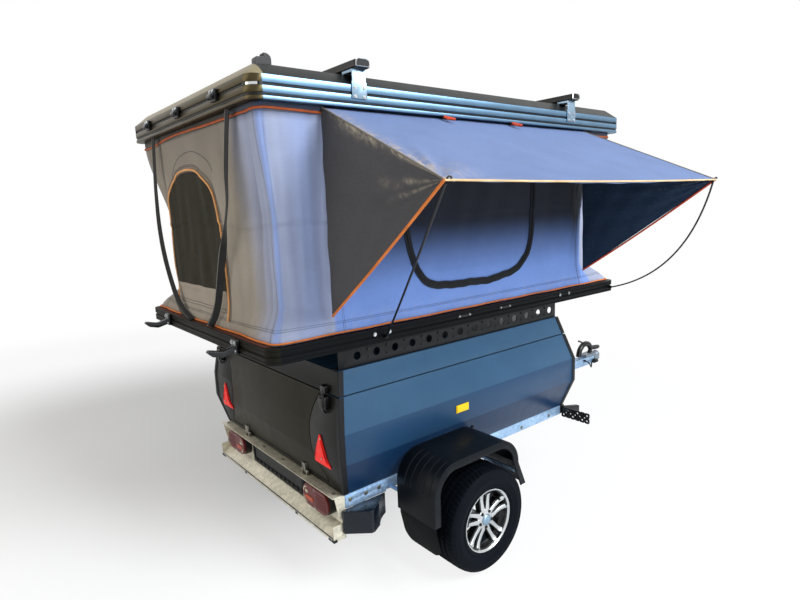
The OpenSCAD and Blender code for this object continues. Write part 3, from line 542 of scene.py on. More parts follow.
@dataclass
class Palette:
    """Every material of the trailer, by its record slot or its own name."""

    made: dict[str, bpy.types.Material] = field(default_factory=dict)

    def mix_all(self) -> None:
        """Makes the materials."""
        box_edge = (-2.8395, 0.247, 0.136)
        recipes: dict[str, object] = {
            "galvanised_steel": Zinc(),
            "galvanised_sheet": Zinc(rgb(226, 220, 200), rgb(186, 181, 162), 85, 0.38, 0.35, 0.40),
            "zinc_casting": Zinc(rgb(150, 160, 170), rgb(104, 114, 124), 300, 0.45),
            "black_plastic": Moulded(rgb(13, 14, 16), 0.42, depth=0.00005),
            "cable_rubber": Rubber(rgb(12, 12, 14), rgb(60, 60, 60), 0.15, 0.55),
            "lamp_lens": Lens(rgb(104, 6, 8), 0.005, 0.30, 0.5),
            "lamp_clear": Lens(rgb(206, 190, 168), 0.003, 0.2, 0.7),
            "lamp_amber": Lens(rgb(196, 74, 16), 0.003, 0.25, 0.6),
            "guard_plastic": Moulded(rgb(9, 13, 18), 0.44, 520, 0.00006, 0.12, gloss=0.13,
                                     dust=rgb(28, 33, 40)),
            # box panel: painted shade and reflection on its rear faces, and painted shade on its facets
            # below the bends
            "box_panel": Moulded(rgb(47, 81, 110), 0.36, 240, 0.00003, 0.10, 0.03, 0.2,
                                 rear=rgb(16, 17, 15), rear_edge=box_edge,
                                 bands=((BENDS[1], rgb(32, 62, 92)), (BENDS[0], rgb(14, 42, 72)))),
            # tailgate: its olive-dark tone is the rear faces' painted shade and reflection on the box's
            # panel
            "tailgate_panel": Moulded(rgb(42, 41, 32), 0.42, 240, 0.00003, 0.2, 0.0, 0.12),
            "seam_rubber": Moulded(rgb(7, 9, 13), 0.5, 500, 0.00006, gloss=0.25),
            "steel_hardware": Metal(rgb(150, 148, 138), 0.36, 1, tarnish=rgb(92, 84, 70)),
            "black_hardware": Moulded(rgb(8, 8, 10), 0.3, 600, 0.00006, coat=0.12),
            "reflector": Lens(rgb(255, 36, 28), 0.0045, 0.40, 0.9, 0.05),
            "reflector_amber": Lens(rgb(250, 204, 10), 0.0045, 0.4, 0.88, 0.1),
            "chock_plastic": Moulded(rgb(8, 16, 26), 0.26, 500, 0.00002, 0.1, 0.08, 0.25),
            "black_steel": Moulded(rgb(13, 14, 17), 0.5, 900, 0.00010, gloss=0.25),
            # rear colour: painted reflection on the tray frame's rear faces
            "black_extrusion": Moulded(rgb(6, 9, 12), 0.46, 900, 0.00002, 0.1, 0.0, 0.08,
                                       rear=rgb(20, 19, 14), rear_edge=(-3.084, 0.0, 0.0)),
            "felt": Moulded(rgb(74, 36, 24), 0.85, 500, 0.0003),
            "tray_board": Moulded(rgb(52, 52, 54), 0.6, 300, 0.0001),
            # tent wall: side and rear colours are painted light, one cloth skylit on the side and in
            # warm shade at the rear; the third colour is hem grime
            "canvas_cloth": Canvas(rgb(156, 163, 187), rgb(146, 137, 124), rgb(176, 170, 160)),
            # awning top: the third colour is the painted highlight along its rear ridge
            "awning_cloth": Canvas(rgb(103, 122, 163), rgb(84, 82, 80), rgb(170, 156, 140)),
            # awning wings: the third colour is the painted highlight along the ridge and across the
            # wings
            "awning_wing": Canvas(rgb(22, 42, 64), rgb(68, 67, 69), rgb(178, 168, 148), crumple=0.0008,
                                  slub=0.03),
            # net colour: the dark net and, as painted shade, the tent's dim inside seen through it
            "door_net": Woven(rgb(36, 33, 23), rgb(50, 46, 34), 0.0022, 0.0001, 0.85, True),
            "zip_tape": Woven(rgb(12, 15, 20), rgb(26, 31, 38), 0.003, 0.0004, 0.6),
            "orange_binding": Woven(rgb(214, 112, 46), rgb(236, 146, 74), 0.0035, 0.0003, 0.6),
            "door_binding": Woven(rgb(222, 156, 96), rgb(240, 186, 128), 0.0035, 0.0003, 0.6),
            "head_orange": Woven(rgb(150, 70, 34), rgb(190, 96, 50), 0.0035, 0.0003, 0.6),
            "amber_binding": Woven(rgb(226, 184, 128), rgb(246, 220, 178), 0.0035, 0.0003, 0.6),
            "red_binding": Woven(rgb(182, 62, 40), rgb(220, 88, 56), 0.0035, 0.0003, 0.6),
            "thread": Woven(rgb(60, 62, 70), rgb(90, 92, 100), 0.002, 0.0001, 0.7),
            "rod_steel": Metal(rgb(58, 58, 60), 0.34, 2),
            "ridge_tape": Woven(rgb(112, 106, 96), rgb(146, 138, 124), 0.003, 0.0003, 0.7),
            "webbing": Woven(rgb(12, 12, 12), rgb(28, 27, 26), 0.0032, 0.0005, 0.6),
            # light grey band along a strap's edge: a painted highlight
            "webbing_edge": Woven(rgb(96, 94, 90), rgb(128, 126, 120), 0.0032, 0.0004, 0.6),
            # silver extrusion: bluish tone partly a painted skylight reflection on the sides, and an
            # olive painted reflection on the rear faces
            "silver_extrusion": Metal(rgb(116, 150, 178), 0.38, 0, rear=rgb(74, 66, 46),
                                      rear_edge=-3.078),
            # rear colour: beige painted reflection on the roof's rear bevel
            "roof_skin": Moulded(rgb(17, 19, 19), 0.42, 400, 0.00004, 0.2, 0.05, rear=rgb(128, 118, 90),
                                 rear_edge=(-3.070, 0.0, 0.0)),
            "bar_aluminium": Moulded(rgb(15, 16, 18), 0.4, 500, 0.00004, 0.12),
            "clamp_steel": Metal(rgb(150, 176, 196), 0.34, 2),
            "alloy": Metal(rgb(206, 208, 208), 0.26, 1, 0.00001),
            "alloy_dark": Moulded(rgb(11, 12, 15), 0.32, 500, 0.00004, coat=0.15),
            "tyre_rubber": Rubber(rgb(8, 12, 18), rgb(34, 44, 56), 0.10),
            "solid_rubber": Rubber(rgb(12, 13, 14), rgb(50, 52, 54), 0.18, 0.6),
            "bright_steel": Metal(rgb(206, 208, 210), 0.24, 2),
        }
        for name, recipe in recipes.items():
            self.made[name] = recipe.make(name)

    def __getitem__(self, name: str) -> bpy.types.Material:
        """The material with that name."""
        return self.made[name]


PAINT = Palette()


# ------------------------------------------------------------------ mesh building


class Form:
    """Vertices, faces and markings of a mesh under construction."""

    def __init__(self) -> None:
        self.points: list[tuple[float, ...]] = []
        self.faces: list[tuple[int, ...]] = []
        self.runs: list[tuple[float, float]] = []
        self.marks: dict[str, list[float]] = {}

    def add(self, points: Iterable[Point], faces: Iterable[Sequence[int]],
            runs: Iterable[Point] | None = None) -> Form:
        """Adds vertices and the faces between them, with their places on the piece's UV map."""
        base = len(self.points)
        self.points.extend(tuple(map(float, p)) for p in points)
        self.faces.extend(tuple(base + i for i in f) for f in faces)
        self.runs.extend(tuple(map(float, r)) for r in (() if runs is None else runs))
        self.runs.extend([(0.0, 0.0)] * (len(self.points) - len(self.runs)))
        return self

    def grid(self, net: np.ndarray, loop: bool = False, wrap: bool = False,
             runs: np.ndarray | None = None) -> Form:
        """Adds a net of rows and columns.

        Args:
            net: points, rows by columns by 3.
            loop: joins each row's end to its start.
            wrap: joins the last row to the first.
            runs: places on the UV map, rows by columns by 2.

        Returns:
            The form itself.
        """
        rows, columns = net.shape[:2]
        faces = [(r * columns + c, r * columns + (c + 1) % columns,
                  (r + 1) % rows * columns + (c + 1) % columns, (r + 1) % rows * columns + c)
                 for r in range(rows if wrap else rows - 1)
                 for c in range(columns if loop else columns - 1)]
        flat = None if runs is None else runs.reshape(-1, 2)
        return self.add(net.reshape(-1, 3), faces, flat)

    def block(self, low: Point, high: Point) -> Form:
        """Adds a box between two corners."""
        corners = [(x, y, z) for x in (low[0], high[0]) for y in (low[1], high[1])
                   for z in (low[2], high[2])]
        return self.add(corners, [(0, 1, 3, 2), (4, 6, 7, 5), (0, 4, 5, 1), (2, 3, 7, 6),
                                  (0, 2, 6, 4), (1, 5, 7, 3)])

    def flank(self, low: Point, high: Point, side: int) -> Form:
        """Adds a box drawn for the left side, mirrored for the right if `side` is -1."""
        y0, y1 = sorted((low[1] * side, high[1] * side))
        return self.block((low[0], y0, low[2]), (high[0], y1, high[2]))

    def loft(self, rows: Sequence[Sequence[Point]], runs: np.ndarray | None = None) -> Form:
        """Adds closed sections joined in their order, with both ends closed."""
        base, count = len(self.points), len(rows[0])
        last = base + (len(rows) - 1) * count
        self.grid(np.array(rows), loop=True, runs=runs)
        self.faces += [tuple(range(base, base + count)), tuple(range(last, last + count))]
        return self

    def prism(self, outline: Sequence[Point], axis: int, low: float, high: float) -> Form:
        """Adds an outline, drawn in the two other axes in their order, between two planes."""
        n = len(outline)
        points = []
        for level in (low, high):
            for a, b in outline:
                point = [a, b]
                point.insert(axis, level)
                points.append(point)
        sides = [(i, (i + 1) % n, n + (i + 1) % n, n + i) for i in range(n)]
        return self.add(points, [tuple(range(n)), tuple(range(n, 2 * n)), *sides])

    def turned(self, profile: Sequence[Point], centre: Point, axis: int = 1, steps: int = 48) -> Form:
        """Adds a closed profile of (radius, height) turned round an axis through the centre."""
        angles = np.linspace(0, 2 * np.pi, steps, endpoint=False)
        rows = []
        for radius, height in profile:
            row = np.zeros((steps, 3))
            others = [i for i in range(3) if i != axis]
            row[:, others[0]] = radius * np.cos(angles)
            row[:, others[1]] = radius * np.sin(angles)
            row[:, axis] = height
            rows.append(row + np.asarray(centre, float))
        return self.grid(np.array(rows), loop=True, wrap=True)

    def tube(self, path: Sequence[Point], radius: float, steps: int = 10) -> Form:
        """Adds a round tube with closed ends along a path."""
        return self.sweep(path, [(radius * math.cos(a), radius * math.sin(a))
                                 for a in np.linspace(0, 2 * np.pi, steps, endpoint=False)])

    def sweep(self, path: Sequence[Point], section: Sequence[Point],
              sides: Sequence[Point] | None = None) -> Form:
        """Adds a closed section swept along a path.

        Args:
            path: points of the middle line.
            section: points (across, off) round the line.
            sides: direction of `across` at each point; chosen if it is None.

        Returns:
            The form itself.
        """
        path = np.asarray(path, float)
        tangents = np.gradient(path, axis=0)
        tangents /= np.linalg.norm(tangents, axis=1)[:, None]
        length = np.r_[0, np.cumsum(np.linalg.norm(np.diff(path, axis=0), axis=1))]
        if sides is None:
            guide = np.eye(3)[int(np.argmin(np.abs(tangents).max(0)))]
            sides = [guide] * len(path)
        rows, runs = [], []
        girth = np.r_[0, np.cumsum(np.linalg.norm(np.diff(np.array(section), axis=0), axis=1))]
        for point, tangent, guide, run in zip(path, tangents, np.asarray(sides, float), length):
            across = guide - tangent * float(guide @ tangent)
            across /= np.linalg.norm(across)
            off = np.cross(tangent, across)
            rows.append([point + a * across + b * off for a, b in section])
            runs.append([(run, g) for g in girth])
        return self.loft(rows, np.array(runs))

    def band(self, path: Sequence[Point], sides: Sequence[Point], width: float, thick: float) -> Form:
        """Adds a flat band with its width along the given side directions."""
        w, t = width / 2, thick / 2
        ring = [(-w, -t), (-w * 0.5, -t), (0, -t), (w * 0.5, -t), (w, -t), (w, t), (w * 0.5, t),
                (0, t), (-w * 0.5, t), (-w, t)]
        return self.sweep(path, ring, sides)

    def mark(self, name: str, value: float | Iterable[float]) -> Form:
        """Gives the vertices added since the last mark an attribute value."""
        marks = self.marks.setdefault(name, [])
        missing = len(self.points) - len(marks)
        marks.extend([float(value)] * missing if np.isscalar(value) else map(float, value))
        return self

    def piece(self, name: str, material: str, body: Body, slot: str | None = None,
              sharp: float = 35, closed: bool = True) -> bpy.types.Object:
        """Makes the object and lets it ride on its body.

        Args:
            name: the piece's name.
            material: the palette's material.
            body: the body it rides on.
            slot: the record's material slot, if it isn't the material's name; not used.
            sharp: edges over this angle in degrees stay sharp.
            closed: turns the faces of closed shells outwards.

        Returns:
            The object.
        """
        mesh = bpy.data.meshes.new(name)
        mesh.from_pydata(self.points, [], self.faces)
        layer = mesh.uv_layers.new(name="run")
        loops = np.zeros(len(mesh.loops), np.int32)
        mesh.loops.foreach_get("vertex_index", loops)
        layer.data.foreach_set("uv", np.array(self.runs, np.float32)[loops].ravel())
        for key, values in self.marks.items():
            made = mesh.attributes.new(key, "FLOAT", "POINT")
            made.data.foreach_set("value", np.array(values, np.float32))
        if closed:
            work = bmesh.new()
            work.from_mesh(mesh)
            bmesh.ops.recalc_face_normals(work, faces=work.faces)
            work.to_mesh(mesh)
            work.free()
        mesh.materials.append(PAINT[material])
        return settle(bpy.data.objects.new(name, mesh), body, sharp)


def settle(obj: bpy.types.Object, body: Body, sharp: float = 35) -> bpy.types.Object:
    """Links an object, smooths it below an angle and lets it ride on its body."""
    if obj.name not in bpy.context.scene.collection.objects:
        bpy.context.scene.collection.objects.link(obj)
    obj.data.shade_smooth()
    obj.data.set_sharp_from_angle(angle=math.radians(sharp))
    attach(obj, body.value)
    LOG.info("%s: %d faces", obj.name, len(obj.data.polygons))
    return obj


def soften(obj: bpy.types.Object, width: float, steps: int = 2, angle: float = 32) -> bpy.types.Object:
    """Rounds an object's edges with a live bevel."""
    bevel = obj.modifiers.new("edges", "BEVEL")
    bevel.width = width
    bevel.segments = steps
    bevel.limit_method = "ANGLE"
    bevel.angle_limit = math.radians(angle)
    bevel.harden_normals = True
    bevel.use_clamp_overlap = True
    return obj


def thicken(obj: bpy.types.Object, thick: float) -> bpy.types.Object:
    """Gives a sheet its thickness, inwards from its face."""
    solid = obj.modifiers.new("thickness", "SOLIDIFY")
    solid.thickness = thick
    solid.offset = -1
    solid.use_rim = True
    return obj


# ------------------------------------------------------------------ geometry node trees


class Tree:
    """A geometry node tree under construction, with named inputs for its sizes."""

    KINDS = {float: "NodeSocketFloat", int: "NodeSocketInt", Vector: "NodeSocketVector"}

    def __init__(self, name: str, **sizes: float | int | Vector) -> None:
        self.group = bpy.data.node_groups.new(name, "GeometryNodeTree")
        face = self.group.interface
        face.new_socket("Geometry", in_out="INPUT", socket_type="NodeSocketGeometry")
        for key, value in sizes.items():
            made = face.new_socket(key, in_out="INPUT", socket_type=self.KINDS[type(value)])
            made.default_value = value
        face.new_socket("Finish", in_out="INPUT", socket_type="NodeSocketMaterial")
        face.new_socket("Geometry", in_out="OUTPUT", socket_type="NodeSocketGeometry")
        self.entry = self.group.nodes.new("NodeGroupInput")

    def size(self, name: str) -> bpy.types.NodeSocket:
        """The tree's input with that name."""
        return self.entry.outputs[name]

    def node(self, kind: str, settings: dict | None = None, out: int | str = 0,
             **inputs: object) -> bpy.types.NodeSocket:
        """Adds a node and returns one of its outputs; inputs are named with underscores."""
        made = self.group.nodes.new(kind)
        for key, value in (settings or {}).items():
            setattr(made, key, value)
        for key, value in inputs.items():
            names = [s for s in made.inputs if s.enabled and s.name == key.replace("_", " ")]
            socket = names[0] if names else made.inputs[int(key[1:])]
            if isinstance(value, bpy.types.NodeSocket):
                self.group.links.new(value, socket)
            else:
                socket.default_value = value
        return made.outputs[out]

    def join(self, *parts: bpy.types.NodeSocket) -> bpy.types.NodeSocket:
        """Geometry of all the parts together."""
        made = self.group.nodes.new("GeometryNodeJoinGeometry")
        for part in parts:
            self.group.links.new(part, made.inputs[0])
        return made.outputs[0]

    def close(self, geometry: bpy.types.NodeSocket) -> Tree:
        """Ends the tree in Realize Instances and Set Material."""
        real = self.node("GeometryNodeRealizeInstances", Geometry=geometry)
        done = self.node("GeometryNodeSetMaterial", Geometry=real, Material=self.size("Finish"))
        end = self.group.nodes.new("NodeGroupOutput")
        self.group.links.new(done, end.inputs[0])
        return self

    def grow(self, source: bpy.types.Mesh, name: str, material: str, body: Body,
             slot: str | None = None, sharp: float = 35, **sizes: float | int) -> bpy.types.Object:
        """Runs the tree on a mesh and returns the result as a plain riding piece."""
        host = bpy.data.objects.new(name + "_host", source)
        bpy.context.scene.collection.objects.link(host)
        modifier = host.modifiers.new("tree", "NODES")
        modifier.node_group = self.group
        sockets = {s.name: s.identifier for s in self.group.interface.items_tree
                   if s.in_out == "INPUT"}
        for key, value in sizes.items():
            modifier[sockets[key]] = value
        modifier[sockets["Finish"]] = PAINT[material]
        graph = bpy.context.evaluated_depsgraph_get()
        mesh = bpy.data.meshes.new_from_object(host.evaluated_get(graph))
        host.modifiers.clear()
        bpy.data.objects.remove(host)
        mesh.name = name
        if not mesh.uv_layers:
            mesh.uv_layers.new(name="run")
        return settle(bpy.data.objects.new(name, mesh), body, sharp)


def line_mesh(paths: Iterable[Sequence[Point]], closed: bool = False) -> bpy.types.Mesh:
    """A mesh of edges along paths, for the trees that follow a line."""
    points: list[Point] = []
    edges = []
    for path in paths:
        base = len(points)
        points.extend(path)
        edges.extend((i, i + 1) for i in range(base, len(points) - 1))
        if closed:
            edges.append((len(points) - 1, base))
    mesh = bpy.data.meshes.new("line")
    mesh.from_pydata([tuple(map(float, p)) for p in points], edges, [])
    return mesh


class Shop:
    """The geometry node trees that several sub-assemblies use."""

    def __init__(self) -> None:
        self.screws = self._screws()
        self.piping = self._piping()
        self.stitches = self._stitches()
        self.ring = self._ring()

    @staticmethod
    def _screws() -> Tree:
        """A hexagon head on a washer at each point, turned to the point's `facing`."""
        tree = Tree("screws", Radius=0.006, Height=0.005)
        head = tree.node("GeometryNodeMeshCylinder", Vertices=6, Radius=tree.size("Radius"),
                         Depth=tree.size("Height"))
        wide = tree.node("ShaderNodeMath", dict(operation="MULTIPLY"), i0=tree.size("Radius"), i1=1.5)
        thin = tree.node("ShaderNodeMath", dict(operation="MULTIPLY"), i0=tree.size("Height"), i1=0.5)
        washer = tree.node("GeometryNodeMeshCylinder", Vertices=20, Radius=wide, Depth=thin)
        lift = tree.node("ShaderNodeCombineXYZ", Z=thin)
        raised = tree.node("GeometryNodeTransform", Geometry=head, Translation=lift)
        both = tree.join(raised, washer)
        facing = tree.node("GeometryNodeInputNamedAttribute", dict(data_type="FLOAT_VECTOR"),
                           Name="facing")
        turn = tree.node("FunctionNodeAlignRotationToVector", dict(axis="Z"), Vector=facing)
        spread = tree.node("GeometryNodeInstanceOnPoints", Points=tree.size("Geometry"),
                           Instance=both, Rotation=turn)
        return tree.close(spread)

    @staticmethod
    def _piping() -> Tree:
        """A round cord along each line."""
        tree = Tree("piping", Radius=0.004, Sides=8)
        curve = tree.node("GeometryNodeMeshToCurve", Mesh=tree.size("Geometry"))
        ring = tree.node("GeometryNodeCurvePrimitiveCircle", Resolution=tree.size("Sides"),
                         Radius=tree.size("Radius"))
        cord = tree.node("GeometryNodeCurveToMesh", Curve=curve, Profile_Curve=ring, Fill_Caps=True)
        return tree.close(cord)

    @staticmethod
    def _stitches() -> Tree:
        """A short thread at every pitch along each line."""
        tree = Tree("stitches", Pitch=0.007, Radius=0.0006, Length=0.0045)
        curve = tree.node("GeometryNodeMeshToCurve", Mesh=tree.size("Geometry"))
        steps = tree.node("GeometryNodeResampleCurve", dict(mode="LENGTH"), Curve=curve,
                          Length=tree.size("Pitch"))
        thread = tree.node("GeometryNodeMeshCylinder", Vertices=5, Radius=tree.size("Radius"),
                           Depth=tree.size("Length"))
        turn = tree.node("FunctionNodeAlignRotationToVector", dict(axis="Z"),
                         Vector=tree.node("GeometryNodeInputTangent"))
        spread = tree.node("GeometryNodeInstanceOnPoints", Points=steps, Instance=thread,
                           Rotation=turn)
        return tree.close(spread)

    @staticmethod
    def _ring() -> Tree:
        """Copies of a mesh round an axis along Y through `Centre`."""
        tree = Tree("ring", Count=5, Centre=Vector((0, 0, 0)))
        points = tree.node("GeometryNodePoints", Count=tree.size("Count"))
        index = tree.node("GeometryNodeInputIndex")
        step = tree.node("ShaderNodeMath", dict(operation="DIVIDE"), i0=2 * math.pi,
                         i1=tree.size("Count"))
        angle = tree.node("ShaderNodeMath", dict(operation="MULTIPLY"), i0=index, i1=step)
        euler = tree.node("ShaderNodeCombineXYZ", Y=angle)
        turn = tree.node("FunctionNodeEulerToRotation", Euler=euler)
        spread = tree.node("GeometryNodeInstanceOnPoints", Points=points,
                           Instance=tree.size("Geometry"), Rotation=turn)
        moved = tree.node("GeometryNodeTransform",
                          Geometry=tree.node("GeometryNodeRealizeInstances", Geometry=spread),
                          Translation=tree.size("Centre"))
        return tree.close(moved)


SHOP: Shop


@dataclass
class Screws:
    """Screw heads waiting to be made, gathered by body, finish and size."""

    spots: dict[tuple[Body, str, float], list[tuple[Point, Point]]] = field(default_factory=dict)

    def put(self, body: Body, material: str, radius: float, point: Point, facing: Point) -> None:
        """Notes a screw head at a point, facing outwards along a direction."""
        self.spots.setdefault((body, material, radius), []).append((tuple(point), tuple(facing)))

    def fit(self) -> None:
        """Makes every head with the screws tree, one piece for each body, finish and size."""
        for (body, material, radius), spots in self.spots.items():
            mesh = bpy.data.meshes.new("spots")
            mesh.from_pydata([p for p, _ in spots], [], [])
            facing = mesh.attributes.new("facing", "FLOAT_VECTOR", "POINT")
            facing.data.foreach_set("vector", np.array([f for _, f in spots], np.float32).ravel())
            name = f"screws_{body.value}_{material}_{radius * 1000:.0f}"
            SHOP.screws.grow(mesh, name, material, body, Radius=radius, Height=radius * 0.8)


def at(x: float, y: float, z: float) -> Vector:
    """Point given in millimetres from the axle's middle and the ground."""
    return Vector((x * MM - BALL_TO_AXLE, y * MM, z * MM - BALL_HEIGHT))


def flow(points: Sequence[Point], count: int) -> np.ndarray:
    """Smooth path of `count` points through the given points, evenly spaced along it."""
    knots = np.asarray([tuple(p) for p in points], float)
    ends = np.vstack([2 * knots[0] - knots[1], knots, 2 * knots[-1] - knots[-2]])
    t = np.linspace(0, 1, 12, endpoint=False)[:, None]
    dense = []
    for a, b, c, d in zip(ends, ends[1:], ends[2:], ends[3:]):
        dense.append(0.5 * (2 * b + (c - a) * t + (2 * a - 5 * b + 4 * c - d) * t ** 2
                            + (3 * b - a - 3 * c + d) * t ** 3))
    dense = np.vstack([*dense, knots[-1:]])
    length = np.r_[0, np.cumsum(np.linalg.norm(np.diff(dense, axis=0), axis=1))]
    even = np.linspace(0, length[-1], count)
    return np.column_stack([np.interp(even, length, dense[:, i]) for i in range(dense.shape[1])])


# ------------------------------------------------------------------ carried-over nodes


@dataclass(frozen=True)
class Dress:
    """Material and edge rounding of one CAD node."""

    node: str
    material: str
    edge: float = 0.0008

    def put(self, nodes: dict[str, bpy.types.Object]) -> None:
        """Dresses the node: its material, smooth shading and rounded edges."""
        obj = nodes[self.node]
        obj.data.materials.clear()
        obj.data.materials.append(PAINT[self.material])
        obj.data.shade_smooth()
        weld = obj.modifiers.new("weld", "WELD")
        weld.merge_threshold = 0.00001
        flat = obj.modifiers.new("flat", "DECIMATE")
        flat.decimate_type = "DISSOLVE"
        flat.angle_limit = math.radians(0.4)
        soften(obj, self.edge, 2, 20)


DRESSES = [Dress(*row) for row in (
    ("side_rails", "galvanised_steel", 0.001), ("cross_members", "galvanised_steel"),
    ("drawbar", "galvanised_steel", 0.003), ("coupling_head", "zinc_casting", 0.002),
    ("coupling_handle", "black_hardware", 0.002), ("lamp_board", "galvanised_sheet"),
    ("cable_fittings", "black_plastic", 0.0015), ("plate_holder", "black_plastic"),
    ("axle_beam", "galvanised_steel", 0.003), ("swing_arms", "galvanised_steel", 0.002),
    ("mudguard_left", "guard_plastic", 0.0018), ("mudguard_right", "guard_plastic", 0.0018),
    ("mud_flaps", "solid_rubber", 0.001), ("mudguard_stays", "galvanised_steel"),
    ("box_tub", "box_panel", 0.0016), ("hinge_pins", "steel_hardware"),
    ("box_latches", "black_hardware", 0.002), ("wheel_chocks", "chock_plastic", 0.004),
    ("chock_holders", "galvanised_steel"), ("marker_lamps", "black_plastic", 0.002),
    ("jockey_clamp", "zinc_casting", 0.0015), ("tailgate", "tailgate_panel", 0.002),
    ("tailgate_hinges", "steel_hardware"), ("box_lid", "box_panel", 0.0016),
    ("lid_hinges", "steel_hardware"), ("latch_keepers", "black_hardware", 0.0015),
    ("rack_rail_left", "black_steel"), ("rack_rail_right", "black_steel"),
    ("tray_frame", "black_extrusion", 0.0009), ("tray_floor", "tray_board"),
    ("tray_latches", "black_hardware", 0.003), ("roof_frame", "silver_extrusion", 0.0009),
    ("roof_panel", "roof_skin", 0.003), ("roof_crossbars", "bar_aluminium", 0.004),
    ("crossbar_clamps", "clamp_steel", 0.0015), ("roof_catches", "black_hardware", 0.002),
    ("jockey_leg", "galvanised_steel"), ("jockey_crank", "black_hardware", 0.0015),
    ("jockey_fork", "galvanised_steel"), ("jockey_wheel", "solid_rubber", 0.002),
)]


# ------------------------------------------------------------------ tent


@dataclass
class TentWall:
    """The canvas wall of the tent: one loop of cloth, drawn in at its corners and creased."""

    room: Extent
    radius: float = 0.030
    pull_x: float = 0.070
    pull_y: float = 0.082
    reach: float = 0.34
    step: float = 0.013
    rows: int = 62
    thick: float = 0.0014
    # the awning's shadow is painted on the right wall between these X
    sheltered: tuple[float, float] = (-2.842, -1.196)  # X of the awning's ends on the right wall
    seed: int = 11

    def __post_init__(self) -> None:
        r = self.radius
        self.low, self.high = self.room.lo, self.room.hi
        self.side = self.high.x - self.low.x - 2 * r
        self.end = self.high.y - self.low.y - 2 * r
        self.arc = math.pi * r / 2
        self.total = 2 * (self.side + self.end) + 4 * self.arc
        self.rear_start = 2 * self.side + self.end + 3 * self.arc
        half = self.arc / 2
        self.corners = [(self.side + half, -1, 1), (self.side + self.end + self.arc + half, -1, -1),
                        (self.rear_start - half, 1, -1), (self.total - half, 1, 1)]
        draw = np.random.default_rng(self.seed)
        self.folds = [(i, draw.uniform(-0.36, 0.36), draw.uniform(-0.16, 0.16),
                       draw.uniform(0.009, 0.026), draw.uniform(-0.011, 0.008))
                      for i in range(4) for _ in range(13)]
        self.folds += [(3, -0.030, 0.010, 0.009, -0.011), (3, -0.062, 0.016, 0.011, -0.010),
                       (3, -0.105, 0.030, 0.016, -0.008), (3, -0.190, 0.050, 0.018, -0.007),
                       (3, 0.030, -0.006, 0.009, -0.009), (3, 0.085, -0.030, 0.014, -0.006),
                       (3, 0.235, 0.010, 0.010, -0.006), (3, -0.290, -0.020, 0.013, 0.006)]
        self.waves = [(draw.uniform(6, 46), draw.normal(0, 9), draw.uniform(0, 6.28),
                       draw.uniform(0.2, 1.0)) for _ in range(34)]

    def plan(self, run: np.ndarray) -> tuple[np.ndarray, np.ndarray]:
        """Foot line of the wall.

        Args:
            run: distances along the wall, from the rear right corner forward.

        Returns:
            Points and outward directions in plan.
        """
        r = self.radius
        run = np.mod(run, self.total)
        starts = [(self.low.x + r, self.low.y, 0.0, self.side),
                  (self.high.x, self.low.y + r, 90.0, self.end),
                  (self.high.x - r, self.high.y, 180.0, self.side),
                  (self.low.x, self.high.y - r, 270.0, self.end)]
        point, facing = np.zeros((len(run), 2)), np.zeros((len(run), 2))
        base = 0.0
        for x, y, turn, length in starts:
            a = math.radians(turn)
            ahead, out = np.array([math.cos(a), math.sin(a)]), np.array([math.sin(a), -math.cos(a)])
            on = (run >= base) & (run < base + length)
            point[on] = np.array([x, y]) + np.outer(run[on] - base, ahead)
            facing[on] = out
            base += length
            on = (run >= base) & (run <= base + self.arc)
            theta = (run[on] - base) / r
            corner = np.array([x, y]) + ahead * length - out * r
            facing[on] = np.outer(np.cos(theta), out) + np.outer(np.sin(theta), ahead)
            point[on] = corner + r * facing[on]
            base += self.arc
        return point, facing

    def skin(self, run: np.ndarray, height: np.ndarray, lift: float | np.ndarray = 0.0) -> np.ndarray:
        """Points of the wall's outer face.

        Args:
            run: distances along the wall.
            height: shares of the wall's height.
            lift: how far the points stand off the face.

        Returns:
            The points, in the shape of `run` and one more axis.
        """
        shape = run.shape
        run, height = run.ravel(), height.ravel()
        point, facing = self.plan(run)
        body = smooth_step(height, 0, 0.15) * (1 - smooth_step(height, 0.42, 1.0))
        loose = np.sqrt(np.clip(np.sin(np.pi * np.clip(height, 0, 1)), 0, 1))
        off = np.zeros(len(run))
        for centre, sign_x, sign_y in self.corners:
            far = np.abs((run - centre + self.total / 2) % self.total - self.total / 2)
            near = (1 - smooth_step(far, 0.0, self.reach)) ** 1.2
            point[:, 0] += sign_x * self.pull_x * near * body
            point[:, 1] += sign_y * self.pull_y * near * body
        off += self.creased(run, height) * loose
        for along, up, phase, size in self.waves:
            off += 0.0009 * size * loose * np.sin(along * run + up * height * 0.83 + phase)
        off -= 0.012 * body
        crease = height - 0.505 - 0.010 * np.sin(run * 5.3) - 0.006 * np.sin(run * 17)
        off -= (0.0026 * np.exp(-(crease / 0.008) ** 2)
                - 0.0024 * np.exp(-((crease - 0.018) / 0.01) ** 2))
        for level in (0.245, 0.76):
            off -= 0.0014 * np.exp(-((height - level - 0.004 * np.sin(run * 7 + level)) / 0.007) ** 2)
        off += 0.0035 * (1 - smooth_step(height, 0, 0.09)) * np.sin(run * 21)
        off += 0.002 * (1 - smooth_step(height, 0.03, 0.06))
        point += facing * (off + lift)[:, None]
        level = self.low.z + height * (self.high.z - self.low.z)
        return np.column_stack([point, level]).reshape(*shape, 3)

    def away(self, run: np.ndarray, corner: int) -> np.ndarray:
        """Distances along the wall from a corner's middle, negative before it."""
        return (run - self.corners[corner][0] + self.total / 2) % self.total - self.total / 2

    def creased(self, run: np.ndarray, height: np.ndarray) -> np.ndarray:
        """How far the folds beside the corners stand out."""
        off = np.zeros(run.shape)
        for index, place, slant, width, depth in self.folds:
            away = self.away(run, index)
            line = (away - place - slant * (height - 0.5)) / width
            off += depth * np.exp(-line ** 2) * (1 - smooth_step(np.abs(away), 0.2, 0.5))
        return off

